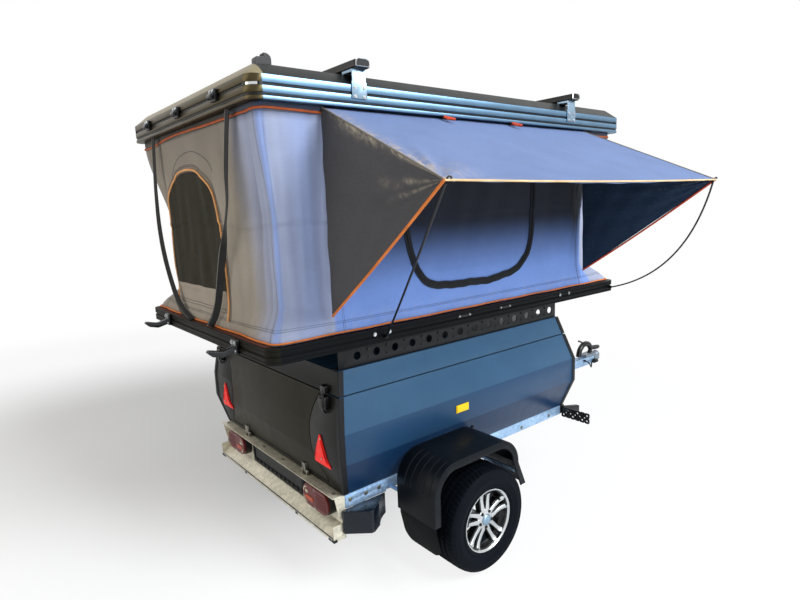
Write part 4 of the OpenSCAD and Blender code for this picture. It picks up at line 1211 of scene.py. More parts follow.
    def rear(self, y: np.ndarray, z: np.ndarray, lift: float | np.ndarray = 0.0) -> np.ndarray:
        """Points of the rear wall at the given Y and Z."""
        run = self.rear_start + (self.high.y - self.radius - np.asarray(y, float))
        return self.skin(run, self.share(z), lift)

    def right(self, x: np.ndarray, z: np.ndarray, lift: float | np.ndarray = 0.0) -> np.ndarray:
        """Points of the right wall at the given X and Z."""
        return self.skin(np.asarray(x, float) - self.low.x - self.radius, self.share(z), lift)

    def share(self, z: np.ndarray) -> np.ndarray:
        """Shares of the height at levels given in the part's frame."""
        return (np.asarray(z, float) - self.low.z) / (self.high.z - self.low.z)

    def build(self) -> bpy.types.Object:
        """The wall, a thickened sheet that reaches from the base up to the roof."""
        columns = int(self.total / self.step)
        run, height = np.meshgrid(np.linspace(0, self.total, columns, endpoint=False),
                                  np.linspace(0, 1, self.rows))
        runs = np.dstack([run, height * (self.high.z - self.low.z)])
        start, span = self.rear_start, self.end
        # share of the rear colour: the wall's rear in painted warm shade against its painted skylit
        # side
        rear = smooth_step(run, start - 0.10, start + 0.05)
        rear -= smooth_step(run + 0.10 * height, start + span - 0.16, start + span + 0.02)
        form = Form().grid(self.skin(run, height), loop=True, runs=runs)
        before, after = (x - self.low.x - self.radius for x in self.sheltered)
        roofed = smooth_step(run, before, before + 0.02)
        roofed *= 1 - smooth_step(run, after + 0.05, after + 0.09)
        # painted shade: the awning's shadow on the right wall, a dark band under the roof, the upper
        # rear, the creases' valleys and the mid-height crease by the rear-right corner
        dusk = roofed * smooth_step(height, 0.16, 0.50) * 0.98
        dusk = np.maximum(dusk, 0.75 * smooth_step(height, 0.93, 0.985))
        dusk = np.maximum(dusk, 0.30 * rear * smooth_step(height, 0.5, 0.95))
        dusk += 0.14 * np.clip(-self.creased(run, height) / 0.012, 0, 1) * np.sin(np.pi * height) ** 0.3
        near = self.away(run, 3)
        crease = (height - 0.505 - 0.010 * np.sin(run * 5.3) - 0.006 * np.sin(run * 17)) / 0.008
        dusk += 0.15 * np.exp(-crease ** 2) * (1 - smooth_step(np.abs(near), 0.25, 0.55)) * (1 - roofed)
        # painted light: blue skylight on the lower wall under the awning, and highlights on the
        # rear-right corner and beside it
        sky = roofed * (1 - smooth_step(height, 0.45, 0.7)) * 0.9
        sky = np.maximum(sky, 0.55 * np.exp(-((near - 0.004) / 0.018) ** 2))
        sky = np.maximum(sky, 0.30 * np.exp(-((near - 0.16) / 0.08) ** 2))
        wear = 0.22 * (1 - smooth_step(height, 0, 0.14))
        form.mark("tint", rear.ravel()).mark("wear", wear.ravel())
        form.mark("dusk", np.clip(dusk, 0, 1).ravel()).mark("sky", sky.ravel())
        wall = thicken(form.piece("tent_wall", "canvas_cloth", Body.ROOF, sharp=180, closed=False),
                       self.thick)
        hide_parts("canvas")
        return wall


@dataclass
class TentDoor:
    """The arched rear door with its net, piping and seams."""

    wall: TentWall
    middle: float = 0.072
    half: float = 0.318
    foot: float = 0.836
    sill: float = 0.918
    spring: float = 1.130
    crown: float = 1.426

    def arch(self, across: np.ndarray, grow: float = 0.0) -> np.ndarray:
        """Level of the arch at shares of the half width."""
        rise = self.crown - self.spring + grow
        return self.spring + rise * (1 - np.abs(across) ** 2.3) ** (1 / 2.3)

    def outline(self, grow: float = 0.0) -> tuple[np.ndarray, np.ndarray]:
        """Y and Z round the door, from its right foot over the arch to its left foot."""
        angle = np.linspace(0, np.pi, 60)
        share = np.sign(np.cos(angle)) * np.abs(np.cos(angle)) ** (1 / 1.05)
        y = np.r_[np.full(24, -1.0), -share, np.full(24, 1.0)]
        z = np.r_[np.linspace(self.foot - 0.03, self.spring, 24), self.arch(share, grow),
                  np.linspace(self.spring, self.foot, 24)]
        taper = 1 + 0.03 * smooth_step(-z, -self.spring, -self.foot)
        return self.middle + y * (self.half + grow) * taper, z

    def build(self) -> list[bpy.types.Object]:
        """The net, its piping, and the sewn seams round it."""
        across, up = np.meshgrid(np.linspace(-0.975, 0.975, 70), np.linspace(0, 1, 60))
        z = self.sill + (self.arch(across, -0.010) - self.sill) * up
        y = self.middle + across * self.half * (1 + 0.03 * smooth_step(-z, -self.spring, -self.foot))
        lift = 0.0034 + 0.0016 * np.sin(across * 19 + 0.8 * np.sin(3 * up)) * np.sin(np.pi * up)
        runs = np.dstack([-y, z])
        net = Form().grid(self.wall.rear(y, z, lift.ravel()), runs=runs)
        net.faces = [f[::-1] for f in net.faces]
        piece = thicken(net.piece("door_net", "door_net", Body.ROOF, sharp=180, closed=False), 0.001)
        oy, oz = self.outline()
        rim = self.wall.rear(oy, oz, 0.005)
        cord = SHOP.piping.grow(line_mesh([rim]), "door_piping", "door_binding", Body.ROOF,
                                Radius=0.0044, Sides=8)
        seams = [self.wall.rear(*self.outline(grow), 0.0016) for grow in (0.014, 0.020)]
        arc = np.linspace(0.25, 2.85, 40)
        seams.append(self.wall.rear(0.03 - 0.245 * np.cos(arc), 1.375 + 0.122 * np.sin(arc), 0.002))
        sill = np.linspace(-0.235, 0.38, 40)
        seams += [self.wall.rear(sill, np.full(40, self.foot + s), 0.002) for s in (0, 0.012, 0.082)]
        sewn = SHOP.stitches.grow(line_mesh(seams), "door_stitches", "thread", Body.ROOF,
                                  Radius=0.0008)
        fold = Form().sweep(self.wall.rear(sill, np.full(40, self.sill - 0.004), 0.002),
                            [(0.002, -0.010), (0.002, 0.010), (-0.002, 0.010), (-0.002, -0.010)],
                            [(1, 0, 0)] * 40).mark("tint", 1).piece(
                                "door_sill_tape", "canvas_cloth", Body.ROOF)
        return [piece, cord, sewn, fold]


@dataclass
class TentTrim:
    """Piping round the canvas, the side window's zip, and the sewn hems."""

    wall: TentWall
    cord: float = 0.0038
    tape: float = 0.034

    def loops(self) -> list[bpy.types.Object]:
        """Piping at the foot of the wall and a drooping binding under the roof."""
        run = np.linspace(0, self.wall.total, 420, endpoint=False)
        foot = self.wall.skin(run, np.full(420, 0.0085), 0.006)
        droop = 0.022 + 0.026 * np.exp(-((run - self.wall.rear_start - 0.08) / 0.24) ** 2)
        droop += 0.006 * np.sin(run * 4.1)
        head = self.wall.skin(run, 1 - droop, 0.005)
        low = SHOP.piping.grow(line_mesh([foot], True), "foot_piping", "orange_binding", Body.ROOF,
                               Radius=self.cord, Sides=8)
        band = np.array([head + np.array([0, 0, dz]) for dz in (-0.0042, 0.0042)])
        ring = Form().grid(band, loop=True, runs=np.dstack(np.meshgrid(run, [0, 0.0084])))
        high = thicken(ring.piece("head_binding", "head_orange", Body.ROOF, closed=False), 0.003)
        hems = [self.wall.skin(run, np.full(420, h), 0.0016) for h in (0.05, 0.058, 0.965)]
        sewn = SHOP.stitches.grow(line_mesh(hems, True), "hem_stitches", "thread", Body.ROOF,
                                  Radius=0.0007)
        return [low, high, sewn]

    def window(self) -> list[bpy.types.Object]:
        """The U of zip tape round the closed side window."""
        spots = [(-207, 1800), (-207, 1600), (-205, 1510), (-184, 1416), (-153, 1340),
                 (-110, 1290), (-45, 1262), (83, 1254), (220, 1250), (340, 1252), (465, 1276),
                 (530, 1306), (582, 1356), (612, 1452), (619, 1580), (617, 1700), (614, 1800)]
        line = flow([(x * MM - BALL_TO_AXLE, z * MM - BALL_HEIGHT) for x, z in spots], 150)
        wobble = 0.0015 * np.sin(np.arange(150) * 0.37) + 0.001 * np.sin(np.arange(150) * 0.91)
        line[:, 1] += wobble * smooth_step(-line[:, 1], -1.2, -0.95)
        path = self.wall.right(line[:, 0], line[:, 1], 0.0035)
        tangent = np.gradient(path, axis=0)
        sides = np.cross(tangent, np.array([0.0, 1.0, 0.0]))
        tape = Form().band(path, sides, self.tape, 0.0022)
        teeth = Form().band(path + np.array([0, -0.0022, 0]), sides, 0.006, 0.0026)
        pieces = [tape.piece("window_zip_tape", "zip_tape", Body.ROOF),
                  teeth.piece("window_zip_teeth", "seam_rubber", Body.ROOF)]
        rims = [path + sides / np.linalg.norm(sides, axis=1)[:, None] * s + np.array([0, -0.0018, 0])
                for s in (-self.tape / 2 + 0.003, self.tape / 2 - 0.003)]
        pieces.append(SHOP.stitches.grow(line_mesh(rims), "window_stitches", "thread", Body.ROOF))
        for tip in (path[9], path[-10]):
            pull = Form().block(tip - np.array([0.006, 0.008, 0.012]),
                                tip + np.array([0.006, -0.001, 0.012]))
            pieces.append(soften(pull.piece(f"zip_slider_{tip[0] * -1000:.0f}", "black_hardware",
                                            Body.ROOF), 0.002))
        return pieces

    def joins(self) -> list[bpy.types.Object]:
        """Vertical seams of the wall's panels beside its corners."""
        height = np.linspace(0.01, 0.99, 60)
        seams = [self.wall.skin(np.full(60, run), height, 0.0012)
                 for run in (0.265, 0.273, self.wall.side - 0.26, self.wall.side - 0.252,
                             self.wall.rear_start + 0.05, self.wall.total - 0.045)]
        return [SHOP.stitches.grow(line_mesh(seams), "panel_stitches", "thread", Body.ROOF,
                                   Radius=0.0006)]


@dataclass
class Awning:
    """The side awning: a sagging top and two creased wings, with piping, toggles and rods."""

    wall: TentWall
    room: Extent
    tray: Extent
    thick: float = 0.0013
    sag: float = 0.020

    def __post_init__(self) -> None:
        self.top_rear = at(-590, -645, 1965)
        self.top_front = at(1030, -645, 1965)
        self.out_rear = at(-622, -1299, 1673.5)
        self.out_front = at(1104, -1299, 1673.5)
        self.foot_rear = at(-592, -645.5, 1209)
        self.foot_front = at(1054, -645.5, 1218)

    @staticmethod
    def flat(a: Point, b: Point, c: Point, d: Point, u: np.ndarray, v: np.ndarray) -> np.ndarray:
        """Points of the skew panel a, b, c, d at shares u from a to b and v from a to c."""
        a, b, c, d = (np.array(p) for p in (a, b, c, d))
        u, v = u[..., None], v[..., None]
        return (1 - u) * (1 - v) * a + u * (1 - v) * b + (1 - u) * v * c + u * v * d

    def top(self) -> bpy.types.Object:
        """The slate top panel, with creases that run from its outer corners."""
        u, v = np.meshgrid(np.linspace(0, 1, 150), np.linspace(0, 1, 64))
        a, b, c, d = (np.array(p) for p in (self.top_rear, self.top_front, self.out_rear,
                                            self.out_front))
        net = self.flat(a, b, c, d, u, v)
        fall = -self.sag * np.sin(np.pi * u) ** 0.8 * np.sin(np.pi * v * 0.92)
        fall -= 0.006 * np.sin(np.pi * u) * v
        for corner, count, size in ((c, 14, 0.0078), (d, 13, 0.0022)):
            arm = net - corner
            far = np.linalg.norm(arm, axis=2)
            angle = np.arctan2(np.abs(arm[..., 1]), np.abs(arm[..., 0]) + 1e-6)
            fan = np.sin(angle * count + 1.7 * np.sin(angle * 5)) * np.exp(-((far - 0.12) / 0.22) ** 2)
            fall += size * fan
        fall += 0.0016 * np.sin(u * 31 + 4 * v) * (1 - v) * np.sin(np.pi * v)
        fall += 0.0012 * np.sin(u * 13 + 9 * v + 1.3) + 0.001 * np.sin(u * 47 - 13 * v)
        held = smooth_step(v, 0, 0.05) * smooth_step(u, 0, 0.03)
        net[..., 2] += fall * held * (1 - smooth_step(u, 0.97, 1))
        runs = np.dstack([u * 1.7, v * 0.72])
        # painted highlight along the rear ridge edge and near the outer rear corner
        near = np.linalg.norm(net - c, axis=2)
        corner_highlight = 0.55 * np.exp(-((near - 0.1) / 0.13) ** 2) * (1 - smooth_step(u, 0.1, 0.2))
        wear = 0.95 * np.exp(-(u / 0.034) ** 2) + corner_highlight
        form = Form().grid(net[::-1], runs=runs[::-1])
        form.mark("tint", 0).mark("wear", wear[::-1].ravel())
        piece = thicken(form.piece("awning_top", "awning_cloth", Body.ROOF, sharp=180, closed=False),
                        self.thick)
        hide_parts("awning")
        return piece

    def wing(self, front: bool) -> bpy.types.Object:
        """One triangular wing, from the wall to the outer corner."""
        top, foot, tip = ((self.top_front, self.foot_front, self.out_front) if front
                          else (self.top_rear, self.foot_rear, self.out_rear))
        p, q = np.meshgrid(np.linspace(0, 0.999, 70), np.linspace(0, 1, 70))
        root = (1 - q)[..., None] * np.array(top) + q[..., None] * np.array(foot)
        net = (1 - p)[..., None] * root + p[..., None] * np.array(tip)
        inward = -1.0 if front else 1.0
        push = 0.030 * np.sin(np.pi * p) ** 0.8 * np.sin(np.pi * q) ** 0.9
        taut = smooth_step(p, 0.45, 0.8) * (1 - smooth_step(p, 0.93, 1))
        fan = np.sin(q * 15 + 2 * np.sin(q * 6)) * 0.0030 * taut
        ripple = 0.0016 * np.sin(p * 23 + q * 17) + 0.0014 * np.sin(p * 9 - q * 31)
        edge = np.sin(np.pi * q) ** 0.5
        net[..., 0] += inward * (push + (fan + ripple) * edge)
        net[..., 1] += 0.010 * np.sin(np.pi * q) * np.sin(np.pi * p)
        runs = np.dstack([p * 0.66, q * 0.76 * (1 - p)])
        # painted highlights along the ridge edge and in two bands across the wing, weaker on the front
        # wing
        wear = 0.95 * np.exp(-(q / 0.055) ** 2) * smooth_step(p, 0.02, 0.3)
        for level, width, reach in ((0.36, 0.05, 0.30), (0.52, 0.03, 0.22)):
            start = smooth_step(p, 1 - reach - 0.3, 1 - reach)
            wear += 0.5 * np.exp(-((q - level) / width) ** 2) * start
        if front:
            wear *= 0.25
        flip = (lambda a: a[::-1]) if front else (lambda a: a)
        form = Form().grid(flip(net), runs=flip(runs))
        form.mark("tint", 0.0 if front else 1.0).mark("wear", flip(wear).ravel())
        name = "awning_wing_front" if front else "awning_wing_rear"
        return thicken(form.piece(name, "awning_wing", Body.ROOF, sharp=180, closed=False), self.thick)

    def piping(self) -> list[bpy.types.Object]:
        """Cords along the free edges, and the ridge seam of the rear wing."""
        pieces = []
        for name, start, end, material, dip in (
                ("outer_piping", self.out_rear, self.out_front, "amber_binding", 0.006),
                ("rear_wing_piping", self.foot_rear, self.out_rear, "orange_binding", 0.006),
                ("front_wing_piping", self.foot_front, self.out_front, "red_binding", 0.008)):
            t = np.linspace(0, 1, 60)[:, None]
            path = np.array(start) * (1 - t) + np.array(end) * t
            path[:, 2] -= dip * np.sin(np.pi * t[:, 0])
            pieces.append(SHOP.piping.grow(line_mesh([path]), name, material, Body.ROOF,
                                           Radius=0.0032 if name == "outer_piping" else 0.0046,
                                           Sides=8))
        t = np.linspace(0.01, 0.99, 50)[:, None]
        for name, start, end in (("rear_ridge_seam", self.top_rear, self.out_rear),
                                 ("front_ridge_seam", self.top_front, self.out_front)):
            path = np.array(start) * (1 - t) + np.array(end) * t + np.array([0, 0, 0.001])
            pieces.append(SHOP.piping.grow(line_mesh([path]), name, "ridge_tape", Body.ROOF,
                                           Radius=0.0030, Sides=6))
        return pieces

    def toggles(self) -> list[bpy.types.Object]:
        """Tie-back toggles that lie on the sheet beside its top edge."""
        pieces = []
        for i, x in enumerate((4, 436)):
            root = at(x, -652, 1966)
            loop = [root + Vector(o) for o in (
                (0, 0.004, 0), (-0.010, -0.018, 0.001), (-0.021, -0.034, -0.008),
                (-0.008, -0.046, -0.013), (0.006, -0.030, -0.007), (0.002, -0.002, 0))]
            pieces.append(SHOP.piping.grow(line_mesh([flow(loop, 24)]), f"toggle_loop_{i}",
                                           "red_binding", Body.ROOF, Radius=0.0034, Sides=7))
            bar = Form().tube([root + Vector(o) for o in (
                (-0.028, -0.030, -0.002), (-0.008, -0.043, -0.008), (0.013, -0.056, -0.014))],
                              0.0064, 10)
            pieces.append(bar.piece(f"toggle_bar_{i}", "red_binding", Body.ROOF))
        return pieces

    def rods(self) -> list[bpy.types.Object]:
        """The two bent spring-steel rods, with their hooked tips and sockets in the base."""
        form, tips = Form(), Form()
        foot_y, foot_z = self.tray.lo.y - 0.0003, self.tray.lo.z + 0.024
        for foot_x, tip_x, bow in ((-374, -612, (0, 0, -0.006)), (1277, 1094, (0.040, -0.060, -0.090))):
            foot = Vector((foot_x * MM - BALL_TO_AXLE, foot_y, foot_z))
            tip = at(tip_x, -1293.3, 1670)
            t = np.linspace(0, 1, 40)[:, None]
            start = np.array(foot) + np.array([0, -0.012, 0])
            path = start + t * (np.array(tip) - start) + 4 * t * (1 - t) * np.array(bow)
            path[:, 2] -= 0.004 * t[:, 0]
            form.tube(np.vstack([np.array(foot) + [0, 0.004, 0], path]), 0.0042, 10)
            hook = [tip + Vector(o) for o in (
                (0, 0.004, -0.004), (-0.002, -0.003, 0.002), (0.002, -0.007, 0.011),
                (0.009, -0.009, 0.013), (0.014, -0.010, 0.007))]
            tips.tube(flow(hook, 20), 0.0030, 8)
            tips.tube([foot + Vector((0, y, 0)) for y in (0.002, -0.006, -0.014)], 0.0075, 14)
        steel = form.piece("awning_rods_steel", "rod_steel", Body.ROOF, "rod_steel")
        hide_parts("awning_rods")
        return [steel, tips.piece("awning_rod_ends", "black_hardware", Body.ROOF)]


@dataclass
class Straps:
    """The two pull-down straps behind the rear door, tucked in at the base."""

    x: float
    width: float = 0.030
    thick: float = 0.0022

    def build(self) -> list[bpy.types.Object]:
        """Both webbing straps."""
        pieces = []
        lines = {
            "left": [(392, 1963, 0), (398, 1830, 6), (403, 1700, 10), (399, 1560, 12), (384, 1430, 8),
                     (352, 1310, 0), (300, 1222, -4), (235, 1172, -4), (160, 1152, 0), (95, 1143, 6)],
            "right": [(-473, 1963, 0), (-448, 1860, 2), (-426, 1750, 4), (-418, 1650, 6),
                      (-386, 1572, 6), (-352, 1505, 4), (-316, 1443, 2), (-282, 1380, 0),
                      (-250, 1315, -2), (-218, 1250, -2), (-176, 1192, 0), (-122, 1143, 4)]}
        for name, spots in lines.items():
            path = flow([at((self.x + BALL_TO_AXLE) / MM - d, y, z) for y, z, d in spots], 90)
            t = np.linspace(0, 1, 90)
            if name == "left":
                turn = -0.10 - 0.25 * smooth_step(t, 0.1, 0.6)
            else:
                turn = -0.05 + 0.25 * smooth_step(t, 0.2, 0.4) - 0.85 * smooth_step(t, 0.42, 0.6)
            sides = np.column_stack([np.sin(turn), np.cos(turn), np.zeros(90)])
            strap = Form().band(path, sides, self.width, self.thick).piece(
                f"strap_{name}", "webbing", Body.ROOF)
            pieces.append(strap)
            # a light band along one edge of each strap: a painted highlight
            edge = path + sides * (0.46 * self.width) - np.array([0.0012, 0, 0])
            pieces.append(Form().band(edge, sides, 0.0028, 0.0014).piece(
                f"strap_edge_{name}", "webbing_edge", Body.ROOF))
        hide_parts("roof_straps")
        return pieces


# ------------------------------------------------------------------ road wheels


@dataclass
class RoadWheel:
    """One road wheel: a treaded tyre on a five-spoke alloy rim with a hub cap."""

    side: Side
    tyre: Extent
    rim: Extent
    pitches: int = 66
    spokes: int = 5

    def __post_init__(self) -> None:
        name = "left" if self.side is Side.LEFT else "right"
        self.name = name
        self.body = Body.LEFT_WHEEL if self.side is Side.LEFT else Body.RIGHT_WHEEL
        self.centre = self.tyre.centre
        self.radius = self.tyre.size.z / 2
        self.out = float(self.side.value)
        outer = self.rim.hi.y if self.side is Side.LEFT else self.rim.lo.y
        self.face = abs(outer)
        self.lip = self.rim.size.z / 2

    def tread(self) -> bpy.types.Object:
        """The tyre: sidewall ribs, four grooves and slanted sipes round the tread."""
        half = self.tyre.size.y / 2
        r = self.radius
        profile = [(self.lip - 0.009, -0.064), (self.lip + 0.001, -0.079), (self.lip + 0.004, -0.086),
                   (self.lip + 0.010, -0.089), (self.lip + 0.013, -0.0925),
                   (self.lip + 0.017, -0.0925), (self.lip + 0.019, -0.0905), (r - 0.052, -0.0962),
                   (r - 0.047, -0.0972), (r - 0.045, -0.0962), (r - 0.034, -0.0968),
                   (r - 0.026, -0.0948), (r - 0.0245, -0.0958), (r - 0.021, -0.0945),
                   (r - 0.015, -0.0905)]
        crown = [(-0.084, 0.0075), (-0.079, 0.0050), (-0.070, 0.0026), (-0.060, 0.0014)]
        grooves = []
        for mid, width in ((-0.047, 0.0042), (-0.0165, 0.0046), (0.0165, 0.0046), (0.047, 0.0042)):
            grooves += [(mid - width, 0.0005), (mid - width + 0.0008, 0.0075),
                        (mid + width - 0.0008, 0.0075), (mid + width, 0.0005)]
            if mid < 0.04:
                grooves += [(mid + width + 0.008, 0.0), (mid + width + 0.0125, 0.0)]
        land = crown + grooves + [(-y, d) for y, d in reversed(crown)]
        rows = [(radius, y, False) for radius, y in profile]
        rows += [(r - depth, y, depth < 0.007) for y, depth in land]
        rows += [(radius, -y, False) for radius, y in reversed(profile)]
        rows += [(self.lip - 0.009, 0.03, False), (self.lip - 0.009, -0.03, False)]
        stops = np.array([0.0, 0.16, 0.19, 0.30, 0.33, 0.62])
        angle = (np.arange(self.pitches)[:, None] + stops[None]).ravel() * 2 * np.pi / self.pitches
        cut = np.tile([0, 0, 1, 1, 0, 0], self.pitches)
        net = np.zeros((len(rows), len(angle), 3))
        for i, (radius, y, treaded) in enumerate(rows):
            skew = 0.9 * y * y * np.sign(y) / half ** 2 * 0.09 + y * 0.35
            shoulder = math.copysign(0.9 * 0.09 + 0.084 * 0.35, y)
            theta = angle + (skew if radius > r - 0.016 else shoulder if radius > r - 0.030 else 0)
            deep = 0.0045 if abs(y) < 0.075 else 0.0032
            length = radius - cut * (deep if treaded else 0)
            net[i, :, 0] = self.centre.x + length * np.cos(theta)
            net[i, :, 1] = self.centre.y + y * self.out
            net[i, :, 2] = self.centre.z + length * np.sin(theta)
        form = Form().grid(net, loop=True, wrap=True)
        tyre = form.piece(f"tread_tyre_{self.name}", "tyre_rubber", self.body, "tyre_rubber", 30)
        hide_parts(f"tyre_{self.name}")
        return tyre

    def turned(self, name: str, profile: Sequence[Point], steps: int, material: str,
               slot: str | None = None, sharp: float = 35) -> bpy.types.Object:
        """A ring or disc, from a profile of (radius, distance out from the rim's face)."""
        rows = [(radius, (self.face + level) * self.out) for radius, level in profile]
        form = Form().turned(rows, (self.centre.x, 0, self.centre.z), 1, steps)
        return form.piece(f"{name}_{self.name}", material, self.body, slot, sharp)

    def rim_parts(self) -> list[bpy.types.Object]:
        """The dark barrel and the machined lip."""
        lip = self.lip
        across = [(lip - 0.024, -0.036), (lip - 0.022, -0.110), (lip - 0.016, -0.140),
                  (lip - 0.006, -0.150), (lip, -0.150), (lip, -0.145), (lip - 0.010, -0.138),
                  (lip - 0.010, -0.118), (lip - 0.018, -0.104), (lip - 0.018, -0.046),
                  (lip - 0.010, -0.034), (lip - 0.010, -0.013), (lip - 0.0055, -0.0085),
                  (lip - 0.0065, -0.006), (lip - 0.014, -0.0125), (lip - 0.0165, -0.026)]
        barrel = self.turned("rim_barrel", across, 96, "alloy_dark")
        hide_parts(f"rim_{self.name}")
        ring = [(lip, 0.0), (lip, -0.0062), (lip - 0.0052, -0.0084), (lip - 0.0092, -0.0112),
                (lip - 0.0098, -0.0110), (lip - 0.0092, -0.0055), (lip - 0.0070, -0.0030),
                (lip - 0.0040, 0.0)]
        return [barrel, self.turned("rim_lip", ring, 120, "alloy", sharp=24)]

    def spoke_pair(self, grow: float, drop: float, deep: float) -> bpy.types.Mesh:
        """Both arms of the upright spoke.

        Args:
            grow: widens the arms.
            drop: moves their faces inwards.
            deep: their thickness.

        Returns:
            The mesh, round the wheel's axis.
        """
        stations = ((0.026, 0.0105, 0.0098, -0.0150), (0.046, 0.0145, 0.0092, -0.0165),
                    (0.074, 0.0178, 0.0080, -0.0190), (0.100, 0.0208, 0.0080, -0.0185),
                    (self.lip - 0.0225, 0.0232, 0.0100, -0.0140),
                    (self.lip - 0.008, 0.0270, 0.0130, -0.0060))
        form = Form()
        for sign in (-1, 1):
            rows = []
            for radius, mid, half, level in stations:
                w, top, m = 1.12 * half * grow, self.face + level + drop, mid * sign
                section = [(m - w, top - 0.0022), (m - w * 0.72, top), (m + w * 0.72, top),
                           (m + w, top - 0.0022), (m + w, top - deep), (m - w, top - deep)]
                rows.append([(a, b * self.out, radius) for a, b in section])
            form.loft(rows)
        mesh = bpy.data.meshes.new("arm")
        mesh.from_pydata(form.points, [], form.faces)
        work = bmesh.new()
        work.from_mesh(mesh)
        bmesh.ops.recalc_face_normals(work, faces=work.faces)
        bmesh.ops.bevel(work, geom=[e for e in work.edges if e.calc_face_angle(0) > 0.5],
                        offset=0.0006, segments=1, affect="EDGES")
        work.to_mesh(mesh)
        work.free()
        return mesh

    def around(self, angle: float, radius: float, level: float) -> Point:
        """Point at an angle from the top, a radius, and a distance out from the rim's face."""
        return (self.centre.x + radius * math.sin(angle), (self.face + level) * self.out,
                self.centre.z + radius * math.cos(angle))

    def hub(self) -> list[bpy.types.Object]:
        """The rim's barrel and lip, spokes, cap, boss, slots in the lip, valve and bolts."""
        centre = (self.centre.x, 0, self.centre.z)
        pieces = self.rim_parts()
        for name, material, shape in (("spoke_backs", "alloy_dark", (1.30, -0.0055, 0.030)),
                                      ("spokes", "alloy", (1.0, 0.0, 0.010))):
            pieces.append(SHOP.ring.grow(self.spoke_pair(*shape), f"{name}_{self.name}", material,
                                         self.body, sharp=28, Count=self.spokes, Centre=centre))
        cap = [(0.0002, -0.004), (0.012, -0.0045), (0.020, -0.0062), (0.0245, -0.010),
               (0.0262, -0.014), (0.0262, -0.038), (0.0002, -0.038)]
        disc = [(0.026, -0.0135), (0.034, -0.0145), (0.043, -0.0185), (0.047, -0.024),
                (0.047, -0.045), (0.026, -0.045)]
        pieces.append(self.turned("hub_cap", cap, 48, "clamp_steel", "alloy"))
        pieces.append(self.turned("hub_boss", disc, 64, "alloy"))
        slots = Form()
        for i in range(self.spokes):
            mid = 2 * math.pi * i / self.spokes
            arc = [self.around(mid + a, self.lip - 0.0135, -0.0060)
                   for a in np.linspace(-0.135, 0.135, 10)]
            slots.sweep(arc, [(-0.0030, -0.0028), (0.0030, -0.0028), (0.0030, 0.0028),
                              (-0.0030, 0.0028)], [(0, 1, 0)] * 10)
        pieces.append(slots.piece(f"lip_slots_{self.name}", "alloy_dark", self.body))
        tip = np.array(self.around(math.radians(54), 0.112, -0.022))
        stem = [tip - np.array([0, 0.03 * self.out, 0]), tip,
                tip + np.array([-0.004, 0.012 * self.out, -0.004])]
        valve = Form().tube(stem, 0.0042, 10)
        pieces.append(valve.piece(f"valve_{self.name}", "seam_rubber", self.body, "tyre_rubber"))
        for i in range(self.spokes):
            bolt = self.around(2 * math.pi * (i + 0.5) / self.spokes, 0.037, -0.0150)
            SCREWS.put(self.body, "alloy_dark", 0.0052, bolt, (0, self.out, 0))
        return pieces


# ------------------------------------------------------------------ body, chassis and roof details


